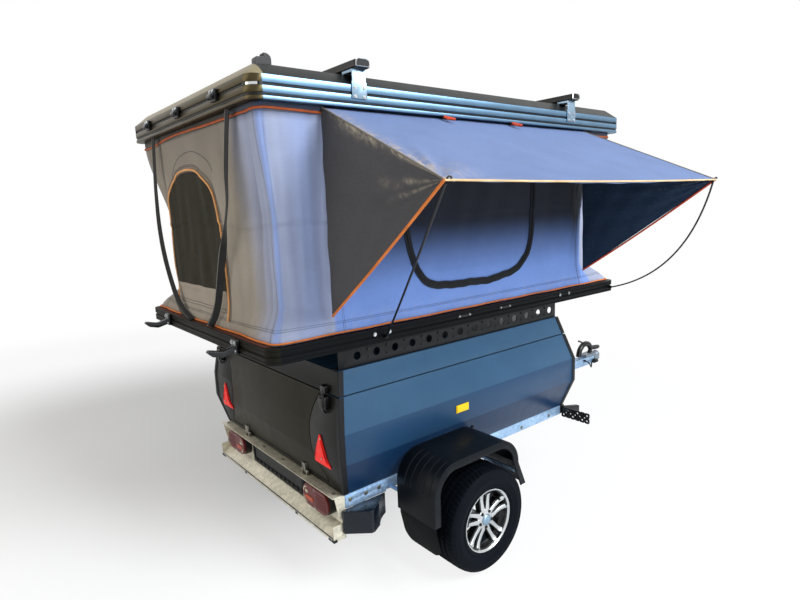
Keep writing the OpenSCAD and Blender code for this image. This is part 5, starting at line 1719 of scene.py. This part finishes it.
class BoxDetails:
    """Edge strips, reflectors, latch hardware and seams of the box."""

    LEVELS = (443, 597, 725, 975)

    def rear_x(self, z: float) -> float:
        """X of the rear faces at a level, in millimetres."""
        return float(np.interp(z, self.LEVELS, (-552, -590, -590, -556)))

    def front_x(self, z: float) -> float:
        """X of the front faces at a level, in millimetres."""
        return float(np.interp(z, self.LEVELS, (958, 995, 995, 882)))

    def half_y(self, z: float) -> float:
        """Half width of the box at a level, in millimetres."""
        return float(np.interp(z, self.LEVELS, (586, 641, 641, 604)))

    def strips(self) -> list[bpy.types.Object]:
        """Black edge profiles round the corners, split at the lid's seam."""
        pieces = []
        rear = ((-2.6, -20), (-2.6, 0.6), (-0.6, 2.6), (22, 2.6), (23, 0.4), (0.5, -0.2), (0.2, -21))
        front = ((2.4, -20), (2.4, 0.6), (0.6, 2.4), (-24, 2.4), (-25, 0.4), (-0.5, -0.2), (-0.2, -21))
        for name, body, levels in (("tub", Body.CHASSIS, (444, 520, 597, 610, 725, 800, 871.5)),
                                   ("lid", Body.LID, (878.5, 920, 974))):
            form = Form()
            for s in (1, -1):
                for end_x, ring in ((self.rear_x, rear), (self.front_x, front)):
                    form.loft([[tuple(at(end_x(z) + dx, (self.half_y(z) + dy) * s, z))
                                for dx, dy in ring] for z in levels])
            pieces.append(form.piece(f"edge_strips_{name}", "seam_rubber", body, "box_panel"))
        return pieces

    def seal(self) -> bpy.types.Object:
        """Rubber seal in the lid's seam, along both sides and the front."""
        form, z = Form(), 875
        x0, x1, y = self.rear_x(z) + 7, self.front_x(875) - 7, self.half_y(z) - 7
        loop = [(x0, -y), (x1, -y), (x1, y), (x0, y)]
        for (ax, ay), (bx, by) in zip(loop, loop[1:]):
            form.tube([at(ax + (bx - ax) * t, ay + (by - ay) * t, z - 0.2) for t in (0, 0.5, 1)],
                      0.0021, 8)
        return form.piece("lid_seal", "seam_rubber", Body.CHASSIS)

    def reflectors(self) -> list[bpy.types.Object]:
        """Red triangles with screws on the rear, and amber bars on the sides, all with rims."""
        red, amber = Form(), Form()
        outline = [(556, 556), (428, 556), (492, 699)]
        cy, cz = (np.mean([p[i] for p in outline]) for i in (0, 1))
        for s in (1, -1):
            for size, low, high in ((1.0, 0.6, 6.0), (0.80, 6.0, 8.0)):
                dense = [(cy + (ay + (by - ay) * t - cy) * size, cz + (az + (bz - az) * t - cz) * size)
                         for (ay, az), (by, bz) in zip(outline, outline[1:] + outline[:1])
                         for t in np.linspace(0.05, 0.95, 10)]
                red.loft([[tuple(at(self.rear_x(z) - level, y * s, z)) for y, z in dense]
                          for level in (low, high)])
            for x_level, y, z in ((676, 499, 676), (596, 500, 590)):
                SCREWS.put(Body.CHASSIS, "lamp_clear", 0.0030,
                           at(self.rear_x(x_level) - 7.4, y * s, z), (-1, 0, 0))
            amber.block(at(48, 641.3 * s, 650), at(130, 645 * s, 686))
            amber.block(at(52, 645 * s, 654), at(126, 648 * s, 682))
        pieces = [soften(red.piece("reflector_triangles", "reflector", Body.CHASSIS), 0.0008),
                  soften(amber.piece("reflector_bars", "reflector_amber", Body.CHASSIS), 0.0012)]
        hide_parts("reflectors")
        return pieces

    def latches(self) -> bpy.types.Object:
        """Toggle levers and bolts of the two rear latches."""
        form, x = Form(), self.rear_x(850)
        for s in (1, -1):
            lever, hook = ([at(x - dx, 534 * s, z) for dx, z in spots] for spots in (
                ((16, 872), (24, 858), (27, 836), (22, 812), (12, 796)),
                ((12, 862), (18, 884), (12, 902), (2, 904))))
            form.sweep(flow(lever, 16), [(-0.010, -0.004), (0.010, -0.004), (0.007, 0.004),
                                         (-0.007, 0.004)], [(0, 1, 0)] * 16)
            form.tube(flow(hook, 14), 0.0042, 8)
            for y, z in ((516, 836), (552, 836), (516, 860), (552, 860)):
                SCREWS.put(Body.CHASSIS, "bright_steel", 0.0038,
                           at(self.rear_x(z) - 8.2, y * s, z), (-1, 0, 0))
        return soften(form.piece("latch_levers", "black_hardware", Body.CHASSIS, sharp=30), 0.001)

    def build(self) -> list[bpy.types.Object]:
        """All of the box's details."""
        return [*self.strips(), self.seal(), *self.reflectors(), self.latches()]


@dataclass
class TailEnd:
    """Lamps, apron hardware and plate frame at the rear."""

    lamps: Extent
    board: Extent

    def lamp_units(self) -> list[bpy.types.Object]:
        """Shells, lenses and ribs of both lamps."""
        low, high = self.lamps.lo, self.lamps.hi
        x0, z0, z1, half = low.x, low.z, high.z, high.y
        inner, mid = half - 0.212, (z0 + z1) / 2
        shells, reds, clears, ambers, ribs = Form(), Form(), Form(), Form(), Form()
        for s in (1, -1):
            for form, rim, radius, back, front in ((shells, 0, 0.046, x0 + 0.018, high.x),
                                                   (reds, 0.003, 0.044, x0 + 0.004, x0 + 0.019)):
                outline = self.capsule(inner + rim, half - rim, z0 + rim, z1 - rim, radius)
                form.prism([(y * s, z) for y, z in outline], 0, back, front)
            hoop = self.capsule(inner + 0.016, inner + 0.104, z0 + 0.017, z1 - 0.017, 0.026)[7:21]
            clears.sweep([(x0 + 0.0040, y * s, z) for y, z in hoop],
                         [(-0.0030, -0.0022), (0.0030, -0.0022), (0.0020, 0.0022), (-0.0020, 0.0022)],
                         [(0, 0, 1)] * len(hoop))
            clears.flank((x0 + 0.0016, inner + 0.030, mid + 0.008),
                         (x0 + 0.006, inner + 0.050, mid + 0.022), s)
            amber = self.capsule(inner + 0.026, inner + 0.094, mid - 0.022, mid - 0.002, 0.008)
            ambers.prism([(y * s, z) for y, z in amber], 0, x0 + 0.0018, x0 + 0.006)
            for level in np.linspace(z0 + 0.024, z1 - 0.024, 6):
                ribs.flank((x0 + 0.0022, half - 0.094, level - 0.0012),
                           (x0 + 0.006, half - 0.014, level + 0.0012), s)
            for z in (z0 + 0.011, z1 - 0.011):
                SCREWS.put(Body.CHASSIS, "bright_steel", 0.0028, (x0 + 0.0035, (half - 0.106) * s, z),
                           (-1, 0, 0))
        shell = soften(shells.piece("lamp_shells", "black_plastic", Body.CHASSIS), 0.003)
        lens = soften(reds.piece("lamp_lenses", "lamp_lens", Body.CHASSIS), 0.004, 3)
        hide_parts("tail_lamps")
        return [shell, lens, clears.piece("lamp_clear_lenses", "lamp_clear", Body.CHASSIS),
                ambers.piece("lamp_amber_lenses", "lamp_amber", Body.CHASSIS),
                ribs.piece("lamp_ribs", "lamp_lens", Body.CHASSIS)]

    def apron(self) -> list[bpy.types.Object]:
        """Pads, bright lip, end plates and bolts of the lamp board."""
        pads, ends = Form(), Form()
        edge, high = self.board.lo, self.board.hi
        for y in (-0.575, -0.27, 0.27, 0.575, -0.552, 0.552):
            pads.block((edge.x - 0.0012, y - 0.010, edge.z - 0.001),
                       (edge.x + 0.016, y + 0.010, edge.z + 0.0112))
        pieces = [soften(pads.piece("apron_pads", "seam_rubber", Body.CHASSIS), 0.001)]
        lip = Form().block((edge.x - 0.0016, -0.574, edge.z + 0.0118),
                           (edge.x + 0.004, 0.574, edge.z + 0.0150))
        pieces.append(lip.piece("apron_lip", "bright_steel", Body.CHASSIS, "galvanised_sheet"))
        for s in (1, -1):
            ends.flank((edge.x, 0.5795, edge.z), (high.x - 0.004, 0.5825, edge.z + 0.070), s)
        pieces.append(soften(ends.piece("apron_ends", "galvanised_sheet", Body.CHASSIS), 0.001))
        for y in (-0.545, -0.30, -0.10, 0.10, 0.30, 0.545):
            SCREWS.put(Body.CHASSIS, "steel_hardware", 0.0055,
                       (high.x - 0.032, y, high.z + 0.0004), (0, 0, 1))
        return pieces

    def build(self) -> list[bpy.types.Object]:
        """Lamps, apron, lamp leads and the clips of the plate's holder."""
        x1, half = self.lamps.hi.x, self.lamps.hi.y
        z0, z1 = self.lamps.lo.z, self.lamps.hi.z
        pieces = self.lamp_units() + self.apron()
        leads, frame = Form(), Form()
        y = half - 0.215
        for s in (1, -1):
            route = [(x1 - dx, (y - dy) * s, z) for dx, dy, z in (
                (0.012, 0, z1 - 0.02), (0.018, 0.020, z1 - 0.004), (0.012, 0.040, z1 - 0.018),
                (0.010, 0.036, z0 + 0.03), (0.006, 0.042, z0 + 0.004))]
            leads.tube(flow(route, 28), 0.0035, 8)
        pieces.append(leads.piece("lamp_leads", "cable_rubber", Body.CHASSIS))
        for y in np.linspace(-0.235, 0.235, 12):
            for low, high in ((z0 + 0.004, z0 + 0.012), (z1 - 0.022, z1 - 0.010)):
                frame.block((x1 - 0.0155, y - 0.012, low), (x1 - 0.0085, y + 0.012, high))
        frame.block((x1 - 0.011, -0.240, z0 + 0.016), (x1 - 0.008, 0.240, z1 - 0.026))
        pieces.append(soften(frame.piece("plate_clips", "black_plastic", Body.CHASSIS), 0.001))
        return pieces

    @staticmethod
    def capsule(y0: float, y1: float, z0: float, z1: float, radius: float) -> list[Point]:
        """Outline of a rectangle with round corners."""
        points = []
        for cy, cz, start in ((y1 - radius, z1 - radius, 0), (y0 + radius, z1 - radius, 90),
                              (y0 + radius, z0 + radius, 180), (y1 - radius, z0 + radius, 270)):
            for a in np.radians(np.linspace(start, start + 90, 7)):
                points.append((cy + radius * math.cos(a), cz + radius * math.sin(a)))
        return points


@dataclass
class GuardDetails:
    """Ribs and rolled lips of the mudguards."""

    left: Extent
    bend: float = 0.128

    def ribs(self) -> bpy.types.Object:
        """Five ribs over each guard's rear corner."""
        form, g, r = Form(), self.left, self.bend + 0.0008
        cx, cz = g.lo.x + self.bend, g.hi.z - self.bend
        turn = np.radians(np.linspace(98, 178, 26))
        for s in (1, -1):
            for y in np.linspace(g.lo.y + 0.055, g.hi.y - 0.030, 5):
                path = np.column_stack([cx + r * np.cos(turn), np.full(26, y * s),
                                        cz + r * np.sin(turn)])
                path[0, [0, 2]] = path[1, [0, 2]] * 0.6 + path[0, [0, 2]] * 0.4 - [0.0, 0.0025]
                path[-1, 0] += 0.0025
                form.tube(path, 0.0032, 8)
        return form.piece("guard_ribs", "guard_plastic", Body.CHASSIS)

    def lips(self, inner: float = 0.030, front: float = 0.050) -> bpy.types.Object:
        """A rolled edge round each wheel arch, `inner` from the guard's outer outline."""
        form, g, r = Form(), self.left, self.bend - inner
        cz = g.hi.z - self.bend
        arch = [(g.lo.x + inner, g.lo.z)]
        for cx, start, end in ((g.lo.x + self.bend, 180, 90), (g.hi.x - front - self.bend, 90, 4)):
            arch += [(cx + r * math.cos(t), cz + r * math.sin(t))
                     for t in np.radians(np.linspace(start, end, 14))]
        arch.append((g.hi.x - inner, g.lo.z))
        for s in (1, -1):
            form.tube(flow([(x, (g.hi.y - 0.0035) * s, z) for x, z in arch], 110), 0.0042, 8)
        return form.piece("guard_lips", "guard_plastic", Body.CHASSIS)

    def build(self) -> list[bpy.types.Object]:
        """Ribs, lips and the two bolts on top of each guard."""
        g = self.left
        for s in (1, -1):
            for x, drop, lean in ((g.lo.x + 0.07, 0.0188, -0.4), (g.hi.x - 0.13, 0.0008, 0)):
                SCREWS.put(Body.CHASSIS, "black_hardware", 0.006,
                           (x, (g.lo.y + 0.03) * s, g.hi.z - drop), (lean, 0, 1))
        return [self.ribs(), self.lips()]


@dataclass
class ShellDetails:
    """Clamp blocks, latch bolts, corner joints and plates of the tent's two shells."""

    tray: Extent
    roof: Extent
    crossbars: Extent
    bend: float = 0.050
    steps: int = 14

    @property
    def bars(self) -> tuple[float, float]:
        """X of both crossbars."""
        return self.tray.lo.x + 0.429, self.tray.lo.x + 1.749

    def loop(self, room: Extent, inset: float, level: float) -> np.ndarray:
        """Points round a shell's four corners at one level, moved in by `inset`."""
        radius = self.bend - inset
        points = []
        for x, y, start in ((room.hi.x - self.bend, room.hi.y - self.bend, 0),
                            (room.lo.x + self.bend, room.hi.y - self.bend, 90),
                            (room.lo.x + self.bend, room.lo.y + self.bend, 180),
                            (room.hi.x - self.bend, room.lo.y + self.bend, 270)):
            for a in np.radians(np.linspace(start, start + 90, self.steps)):
                points.append((x + radius * math.cos(a), y + radius * math.sin(a), level))
        return np.array(points)

    def hook(self, room: Extent) -> bpy.types.Object:
        """The black accessory block with its horn at the roof's rear corner."""
        shape = [(0, 0), (0, 18), (3, 24), (8, 27), (29, 28), (32, 30), (30, 37), (32, 41),
                 (36, 41.6), (43, 41), (52, 37), (58, 31), (60, 23), (60, 0)]
        outline = [(room.lo.x + x * MM, room.lo.z + z * MM) for x, z in shape]
        form = Form().prism(outline, 1, room.centre.y - 0.014, room.centre.y + 0.014)
        block = soften(form.piece("hook_block", "black_hardware", Body.ROOF), 0.003, 3)
        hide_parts("roof_hook")
        return block

    def build(self) -> list[bpy.types.Object]:
        """Hardware on the base, the roof and the crossbars."""
        return [self.hook(Extent.of("roof_hook")), self.catches(), self.slides(), self.gaps(),
                *self.joints(), *self.caps(), self.felt()]

    def catches(self) -> bpy.types.Object:
        """Catch blocks on the roof's rear face, and the bolts of both rear faces."""
        form, t, r = Form(), self.tray.lo, self.roof.lo
        for y in (-0.4, 0.4):
            for dy in (-0.013, 0.013):
                for z in (t.z + 0.016, self.tray.hi.z - 0.013):
                    SCREWS.put(Body.LID, "bright_steel", 0.0056, (t.x - 0.0146, y + dy, z), (-1, 0, 0))
        for y in (-0.4, 0.0, 0.4):
            form.block((r.x - 0.012, y - 0.026, r.z + 0.030), (r.x - 0.0006, y + 0.026, r.z + 0.072))
            for dy in (-0.012, 0.012):
                SCREWS.put(Body.ROOF, "bright_steel", 0.0048, (r.x - 0.0125, y + dy, r.z + 0.064),
                           (-1, 0, 0))
        return soften(form.piece("catch_blocks", "black_hardware", Body.ROOF), 0.002)

    def slides(self) -> bpy.types.Object:
        """Bolts and sliding plates in the slots of the base's sides."""
        form, t = Form(), self.tray
        for x, size in ((-422, 0.0052), (-349, 0.0052), (48, 0.0040), (112, 0.0040), (326, 0.0040),
                        (390, 0.0040), (799, 0.0052), (878, 0.0052)):
            for s in (1, -1):
                SCREWS.put(Body.LID, "bright_steel", size,
                           (x * MM - BALL_TO_AXLE, (t.hi.y + 0.0004) * s, t.lo.z + 0.039), (0, s, 0))
        for low, high in ((36, 124), (314, 402)):
            for s in (1, -1):
                form.flank((low * MM - BALL_TO_AXLE, t.hi.y - 0.0042, t.lo.z + 0.0315),
                           (high * MM - BALL_TO_AXLE, t.hi.y + 0.0022, t.lo.z + 0.0445), s)
        return soften(form.piece("tray_slides", "black_hardware", Body.LID), 0.002)

    def gaps(self) -> bpy.types.Object:
        """Dark lines in the slots round the roof frame, as painted shade in the slots."""
        form, r = Form(), self.roof
        for low, high in ((0.0455, 0.0525), (0.0135, 0.0205)):
            section = ((0.0058, low), (0.0036, low), (0.0036, high), (0.0058, high))
            form.grid(np.array([self.loop(r, inset, r.lo.z + level) for inset, level in section]),
                      loop=True, wrap=True)
        return form.piece("roof_gaps", "seam_rubber", Body.ROOF)

    def joints(self) -> list[bpy.types.Object]:
        """Corner pieces of the roof frame with dark ends, and the bolts of the bars' clamps."""
        joints, ends, r = Form(), Form(), self.roof
        turn = self.loop(r, 0.0022, r.lo.z + 0.049)
        for start in range(0, len(turn), self.steps):
            arc = turn[start:start + self.steps]
            joints.band(arc[3:-3], [(0, 0, 1)] * (self.steps - 6), 0.0086, 0.0030)
            for end in (arc[:3], arc[-3:]):
                ends.band(end, [(0, 0, 1)] * 3, 0.0094, 0.0042)
        for x in self.bars:
            for s in (1, -1):
                for dx in (-0.020, 0.020):
                    for dz in (0.038, 0.070):
                        SCREWS.put(Body.ROOF, "bright_steel", 0.0044,
                                   (x + dx, (r.hi.y + 0.0062) * s, r.lo.z + dz), (0, s, 0))
        return [joints.piece("corner_joints", "bright_steel", Body.ROOF, "silver_extrusion"),
                ends.piece("joint_ends", "black_hardware", Body.ROOF)]

    def caps(self) -> list[bpy.types.Object]:
        """End caps of the crossbars, with bright rims."""
        caps, rims, high = Form(), Form(), self.crossbars.hi
        section = ((-0.030, -0.024), (0.030, -0.024), (0.028, -0.004), (0.018, 0.0015),
                   (-0.018, 0.0015), (-0.028, -0.004))
        for x in self.bars:
            outline = [(x + dx, high.z + dz) for dx, dz in section]
            for s in (1, -1):
                y = (high.y - 0.006) * s
                caps.prism(outline, 1, *sorted((y - 0.030 * s, y + 0.009 * s)))
                rim = [(px, y + 0.0098 * s, pz) for px, pz in outline]
                rims.tube(np.array([*rim, rim[0]]), 0.0017, 6)
        return [soften(caps.piece("crossbar_caps", "black_plastic", Body.ROOF), 0.004, 3),
                rims.piece("crossbar_rims", "bright_steel", Body.ROOF, "bar_aluminium")]

    def felt(self) -> bpy.types.Object:
        """Felt strip on the base's rear edge, under the canvas."""
        t = self.tray
        form = Form().block((t.lo.x + 0.006, t.lo.y + 0.05, t.hi.z - 0.0004),
                            (t.lo.x + 0.030, t.hi.y - 0.05, t.hi.z + 0.0016))
        return form.piece("tray_felt", "felt", Body.LID, "tray_board")


class Running:
    """Bolts of the racks, rails and coupling, and the coupling's small parts."""

    def build(self) -> list[bpy.types.Object]:
        """The remaining hardware of the chassis."""
        for s in (1, -1):
            for i in range(14):
                x = -448 + 98 * i + 49
                for z in (1002, 1038):
                    if x < 860:
                        SCREWS.put(Body.LID, "black_hardware", 0.0042, at(x, 596.6 * s, z), (0, s, 0))
            for x in (-520, -440, -370):
                SCREWS.put(Body.CHASSIS, "steel_hardware", 0.0062, at(x, 583.8 * s, 414), (0, s, 0))
            for x in (-100, 120, 360, 600, 840):
                SCREWS.put(Body.CHASSIS, "steel_hardware", 0.0060, at(x, 580.6 * s, 405), (0, s, 0))
        for x in (2088, 2120):
            for y in (-18, 18):
                SCREWS.put(Body.CHASSIS, "bright_steel", 0.0060, at(x, y, 409.4), (0, 0, 1))
        grip = Form()
        for i in range(9):
            a = i * 0.0098
            mid = at(2196 + a * 1000, 0, 445.5 - a * 105)
            low, high = mid.x - 0.0022, mid.x + 0.0022
            grip.turned([(0.0132, low), (0.0146, mid.x), (0.0132, high), (0.010, high), (0.010, low)],
                        (0, mid.y, mid.z), 0, 24)
        return [grip.piece("grip_rings", "black_hardware", Body.CHASSIS), self.plates(), self.cowl()]

    def plates(self) -> bpy.types.Object:
        """The two drilled plates that stand out sideways at the rails' front ends."""
        form, node = Form(), Extent.of("marker_lamps")
        cell, hole, thick = 0.030, 0.0052, 0.005
        turn = np.radians(np.arange(16) * 22.5 + 11.25)
        square = np.column_stack([np.cos(turn), np.sin(turn)])
        square /= np.abs(square).max(axis=1)[:, None]
        x = node.lo.x + 0.010
        for s in (1, -1):
            for i in range(6):
                for j in range(2):
                    drilled = hole if (i + j) % 2 == 0 or i == 5 else 0.0012
                    rings = []
                    for flat, scale, depth in ((0, drilled, 0), (1, cell / 2, 0), (1, cell / 2, thick),
                                               (0, drilled, thick)):
                        shape = square if flat else np.column_stack([np.cos(turn), np.sin(turn)])
                        y = node.hi.y - 0.018 + cell * (i + 0.5) + shape[:, 0] * scale
                        z = node.centre.z - cell + cell * (j + 0.5) + shape[:, 1] * scale
                        rings.append(np.column_stack([np.full(16, x + depth), y * s, z]))
                    form.grid(np.array(rings), loop=True, wrap=True)
        return form.piece("marker_plates", "black_hardware", Body.CHASSIS, sharp=30)

    def cowl(self) -> bpy.types.Object:
        """The black cover over the coupling's back, its hand lever and the tail behind it."""
        form = Form()
        for radius, sides, steps, spots in (
                (0.020, 14, 26, ((-0.235, 0.030), (-0.215, 0.085), (-0.165, 0.118), (-0.105, 0.112),
                                 (-0.070, 0.072))),
                (0.0125, 12, 22, ((-0.150, 0.112), (-0.085, 0.098), (-0.030, 0.066), (0.030, 0.060))),
                (0.0065, 8, 12, ((-0.160, 0.124), (-0.205, 0.146), (-0.236, 0.158)))):
            form.tube(flow([Vector((x, 0, z)) for x, z in spots], steps), radius, sides)
        return form.piece("coupling_cowl", "black_hardware", Body.CHASSIS)


@dataclass
class LampCable:
    """The lighting cable between its gland and the parked plug."""

    thick: float = 0.009

    def build(self, nodes: dict[str, bpy.types.Object]) -> bpy.types.Object:
        """The cable as a tube."""
        knots = [(2044, -44, 372), (2044, -52, 372), (2045, -62, 369), (2048, -71, 362),
                 (2053, -76, 352), (2060, -78, 340), (2069, -76, 330), (2080, -72, 323),
                 (2092, -66, 321), (2103, -60, 325), (2112, -55, 333), (2120, -52, 343),
                 (2129, -50, 350), (2142, -50, 350)]
        path = flow([at(*k) for k in knots], 36)
        cable = Form().tube(path, self.thick / 2, 14).piece("lamp_cable", "cable_rubber", Body.CHASSIS)
        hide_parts("coupling_cable")
        return cable


# ------------------------------------------------------------------ room


@dataclass
class Studio:
    """Floor, soft lights, pale surroundings and the camera."""

    eye: tuple[float, float, float] = (-3.94986, -2.42046, 1.23807)
    right: tuple[float, float, float] = (0.77275, -0.63355, -0.03821)
    up: tuple[float, float, float] = (0.13360, 0.10350, 0.98562)
    forward: tuple[float, float, float] = (0.62049, 0.76674, -0.16462)
    lens: float = 25.29
    ground: float = -BALL_HEIGHT
    bounce: float = 0.48  # strength of the surroundings for all but direct and mirrored sight
    middle: tuple[float, float, float] = (-0.7, 2.0, 0.0)  # the floor's fade is measured from here
    aim: tuple[float, float, float] = (-2.2, 0, 0.5)

    def camera(self) -> None:
        """The camera, looking from the rear right."""
        data = bpy.data.cameras.new("camera")
        data.lens, data.sensor_width = self.lens, 36.0
        obj = bpy.data.objects.new("camera", data)
        bpy.context.scene.collection.objects.link(obj)
        turn = Matrix((self.right, self.up, tuple(-f for f in self.forward))).transposed()
        obj.matrix_world = Matrix.Translation(self.eye) @ turn.to_4x4()
        bpy.context.scene.camera = obj

    def lamp(self, name: str, place: Point, size: float, power: float, colour: Colour) -> None:
        """Adds a square soft light that looks at the trailer."""
        data = bpy.data.lights.new(name, "AREA")
        data.size, data.energy, data.color = size, power, colour
        obj = bpy.data.objects.new(name, data)
        obj.location = place
        obj.rotation_euler = (Vector(self.aim) - Vector(place)).to_track_quat("-Z", "Y").to_euler()
        bpy.context.scene.collection.objects.link(obj)

    def world(self) -> None:
        """Even pale surroundings; the camera and reflections see them white."""
        world = bpy.data.worlds.new("world")
        bpy.context.scene.world = world
        world.use_nodes = True
        nodes, links = world.node_tree.nodes, world.node_tree.links
        back = nodes["Background"]
        path = nodes.new("ShaderNodeLightPath")
        seen = None
        for name in ("Is Camera Ray", "Is Glossy Ray", "Is Transmission Ray"):
            if seen is None:
                seen = path.outputs[name]
                continue
            node = nodes.new("ShaderNodeMath")
            node.operation = "MAXIMUM"
            links.new(seen, node.inputs[0])
            links.new(path.outputs[name], node.inputs[1])
            seen = node.outputs[0]
        level = nodes.new("ShaderNodeMapRange")
        level.inputs["To Min"].default_value = self.bounce
        level.inputs["To Max"].default_value = 1.0
        links.new(seen, level.inputs["Value"])
        links.new(level.outputs[0], back.inputs["Strength"])
        back.inputs["Color"].default_value = (1, 1, 1, 1)

    def floor(self) -> None:
        """A large pale floor that fades into the surroundings."""
        shader = Shader("floor")
        here = shader.place()
        shader.set(shader.surface.inputs["Base Color"], (0.93, 0.935, 0.94))
        shader.set(shader.surface.inputs["Roughness"], 0.9)
        shader.set(shader.surface.inputs["Specular IOR Level"], 0.1)
        edge = shader.node("ShaderNodeVectorMath", dict(operation="DISTANCE"), here, self.middle,
                           out="Value")
        tree = shader.tree
        glow = tree.nodes.new("ShaderNodeEmission")
        path = tree.nodes.new("ShaderNodeLightPath")
        fade = edge.ridge(0.7, 2.9) * 0.85 + edge.ridge(3.2, 5.0) * 0.15
        share = fade * Value(shader, path.outputs["Is Camera Ray"])
        blend = tree.nodes.new("ShaderNodeMixShader")
        tree.links.new(share.socket, blend.inputs[0])
        tree.links.new(shader.surface.outputs[0], blend.inputs[1])
        tree.links.new(glow.outputs[0], blend.inputs[2])
        tree.links.new(blend.outputs[0], tree.nodes["Material Output"].inputs["Surface"])
        size = 60.0
        mesh = bpy.data.meshes.new("floor")
        mesh.from_pydata([(x, y, 0) for x in (-size, size) for y in (-size, size)], [], [(0, 2, 3, 1)])
        mesh.materials.append(shader.material)
        obj = bpy.data.objects.new("floor", mesh)
        obj.location = (-2.2, 0, self.ground)
        bpy.context.scene.collection.objects.link(obj)

    def build(self) -> None:
        """The whole studio."""
        scene = bpy.context.scene
        scene.view_settings.view_transform = "Standard"
        self.camera()
        self.world()
        self.floor()
        self.lamp("key", (-0.9, -5.4, 5.0), 3.2, 520, (0.93, 0.97, 1.0))
        self.lamp("rear_fill", (-7.2, 1.2, 2.6), 3.5, 85, (1.0, 0.93, 0.84))
        self.lamp("right_fill", (-2.4, -7.0, 1.6), 4.0, 90, (0.84, 0.91, 1.0))


SCREWS = Screws()


def main() -> None:
    """Builds the studio, then the trailer from the frame up."""
    global SHOP
    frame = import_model()
    Studio().build()
    PAINT.mix_all()
    SHOP = Shop()
    nodes = frame["nodes"]
    LampCable().build(nodes)
    for dress in DRESSES:
        dress.put(nodes)
    wall = TentWall(Extent.of("canvas"))
    cloth = wall.build()
    door = TentDoor(wall).build()
    trim = TentTrim(wall)
    loops, window, seams = trim.loops(), trim.window(), trim.joins()
    tray = Extent.of("tray_frame")
    awning = Awning(wall, Extent.of("awning"), tray)
    top, rear, front = awning.top(), awning.wing(False), awning.wing(True)
    piping, toggles, rods = awning.piping(), awning.toggles(), awning.rods()
    straps = Straps(Extent.of("roof_straps").lo.x + 0.001).build()
    for side in Side:
        name = side.name.lower()
        wheel = RoadWheel(side, Extent.of(f"tyre_{name}"), Extent.of(f"rim_{name}"))
        wheel.tread()
        wheel.hub()
    BoxDetails().build()
    TailEnd(Extent.of("tail_lamps"), Extent.of("lamp_board")).build()
    GuardDetails(Extent.of("mudguard_left")).build()
    ShellDetails(tray, Extent.of("roof_frame"), Extent.of("roof_crossbars")).build()
    Running().build()
    SCREWS.fit()
    soft = [cloth, *door, *loops, *window, *seams, top, rear, front, *piping, *toggles, *rods, *straps]
    for piece in soft:
        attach(piece, Body.LID.value)
        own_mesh(piece)


if __name__ == "__main__":
    logging.basicConfig(level=logging.INFO, format="%(message)s")
    main()
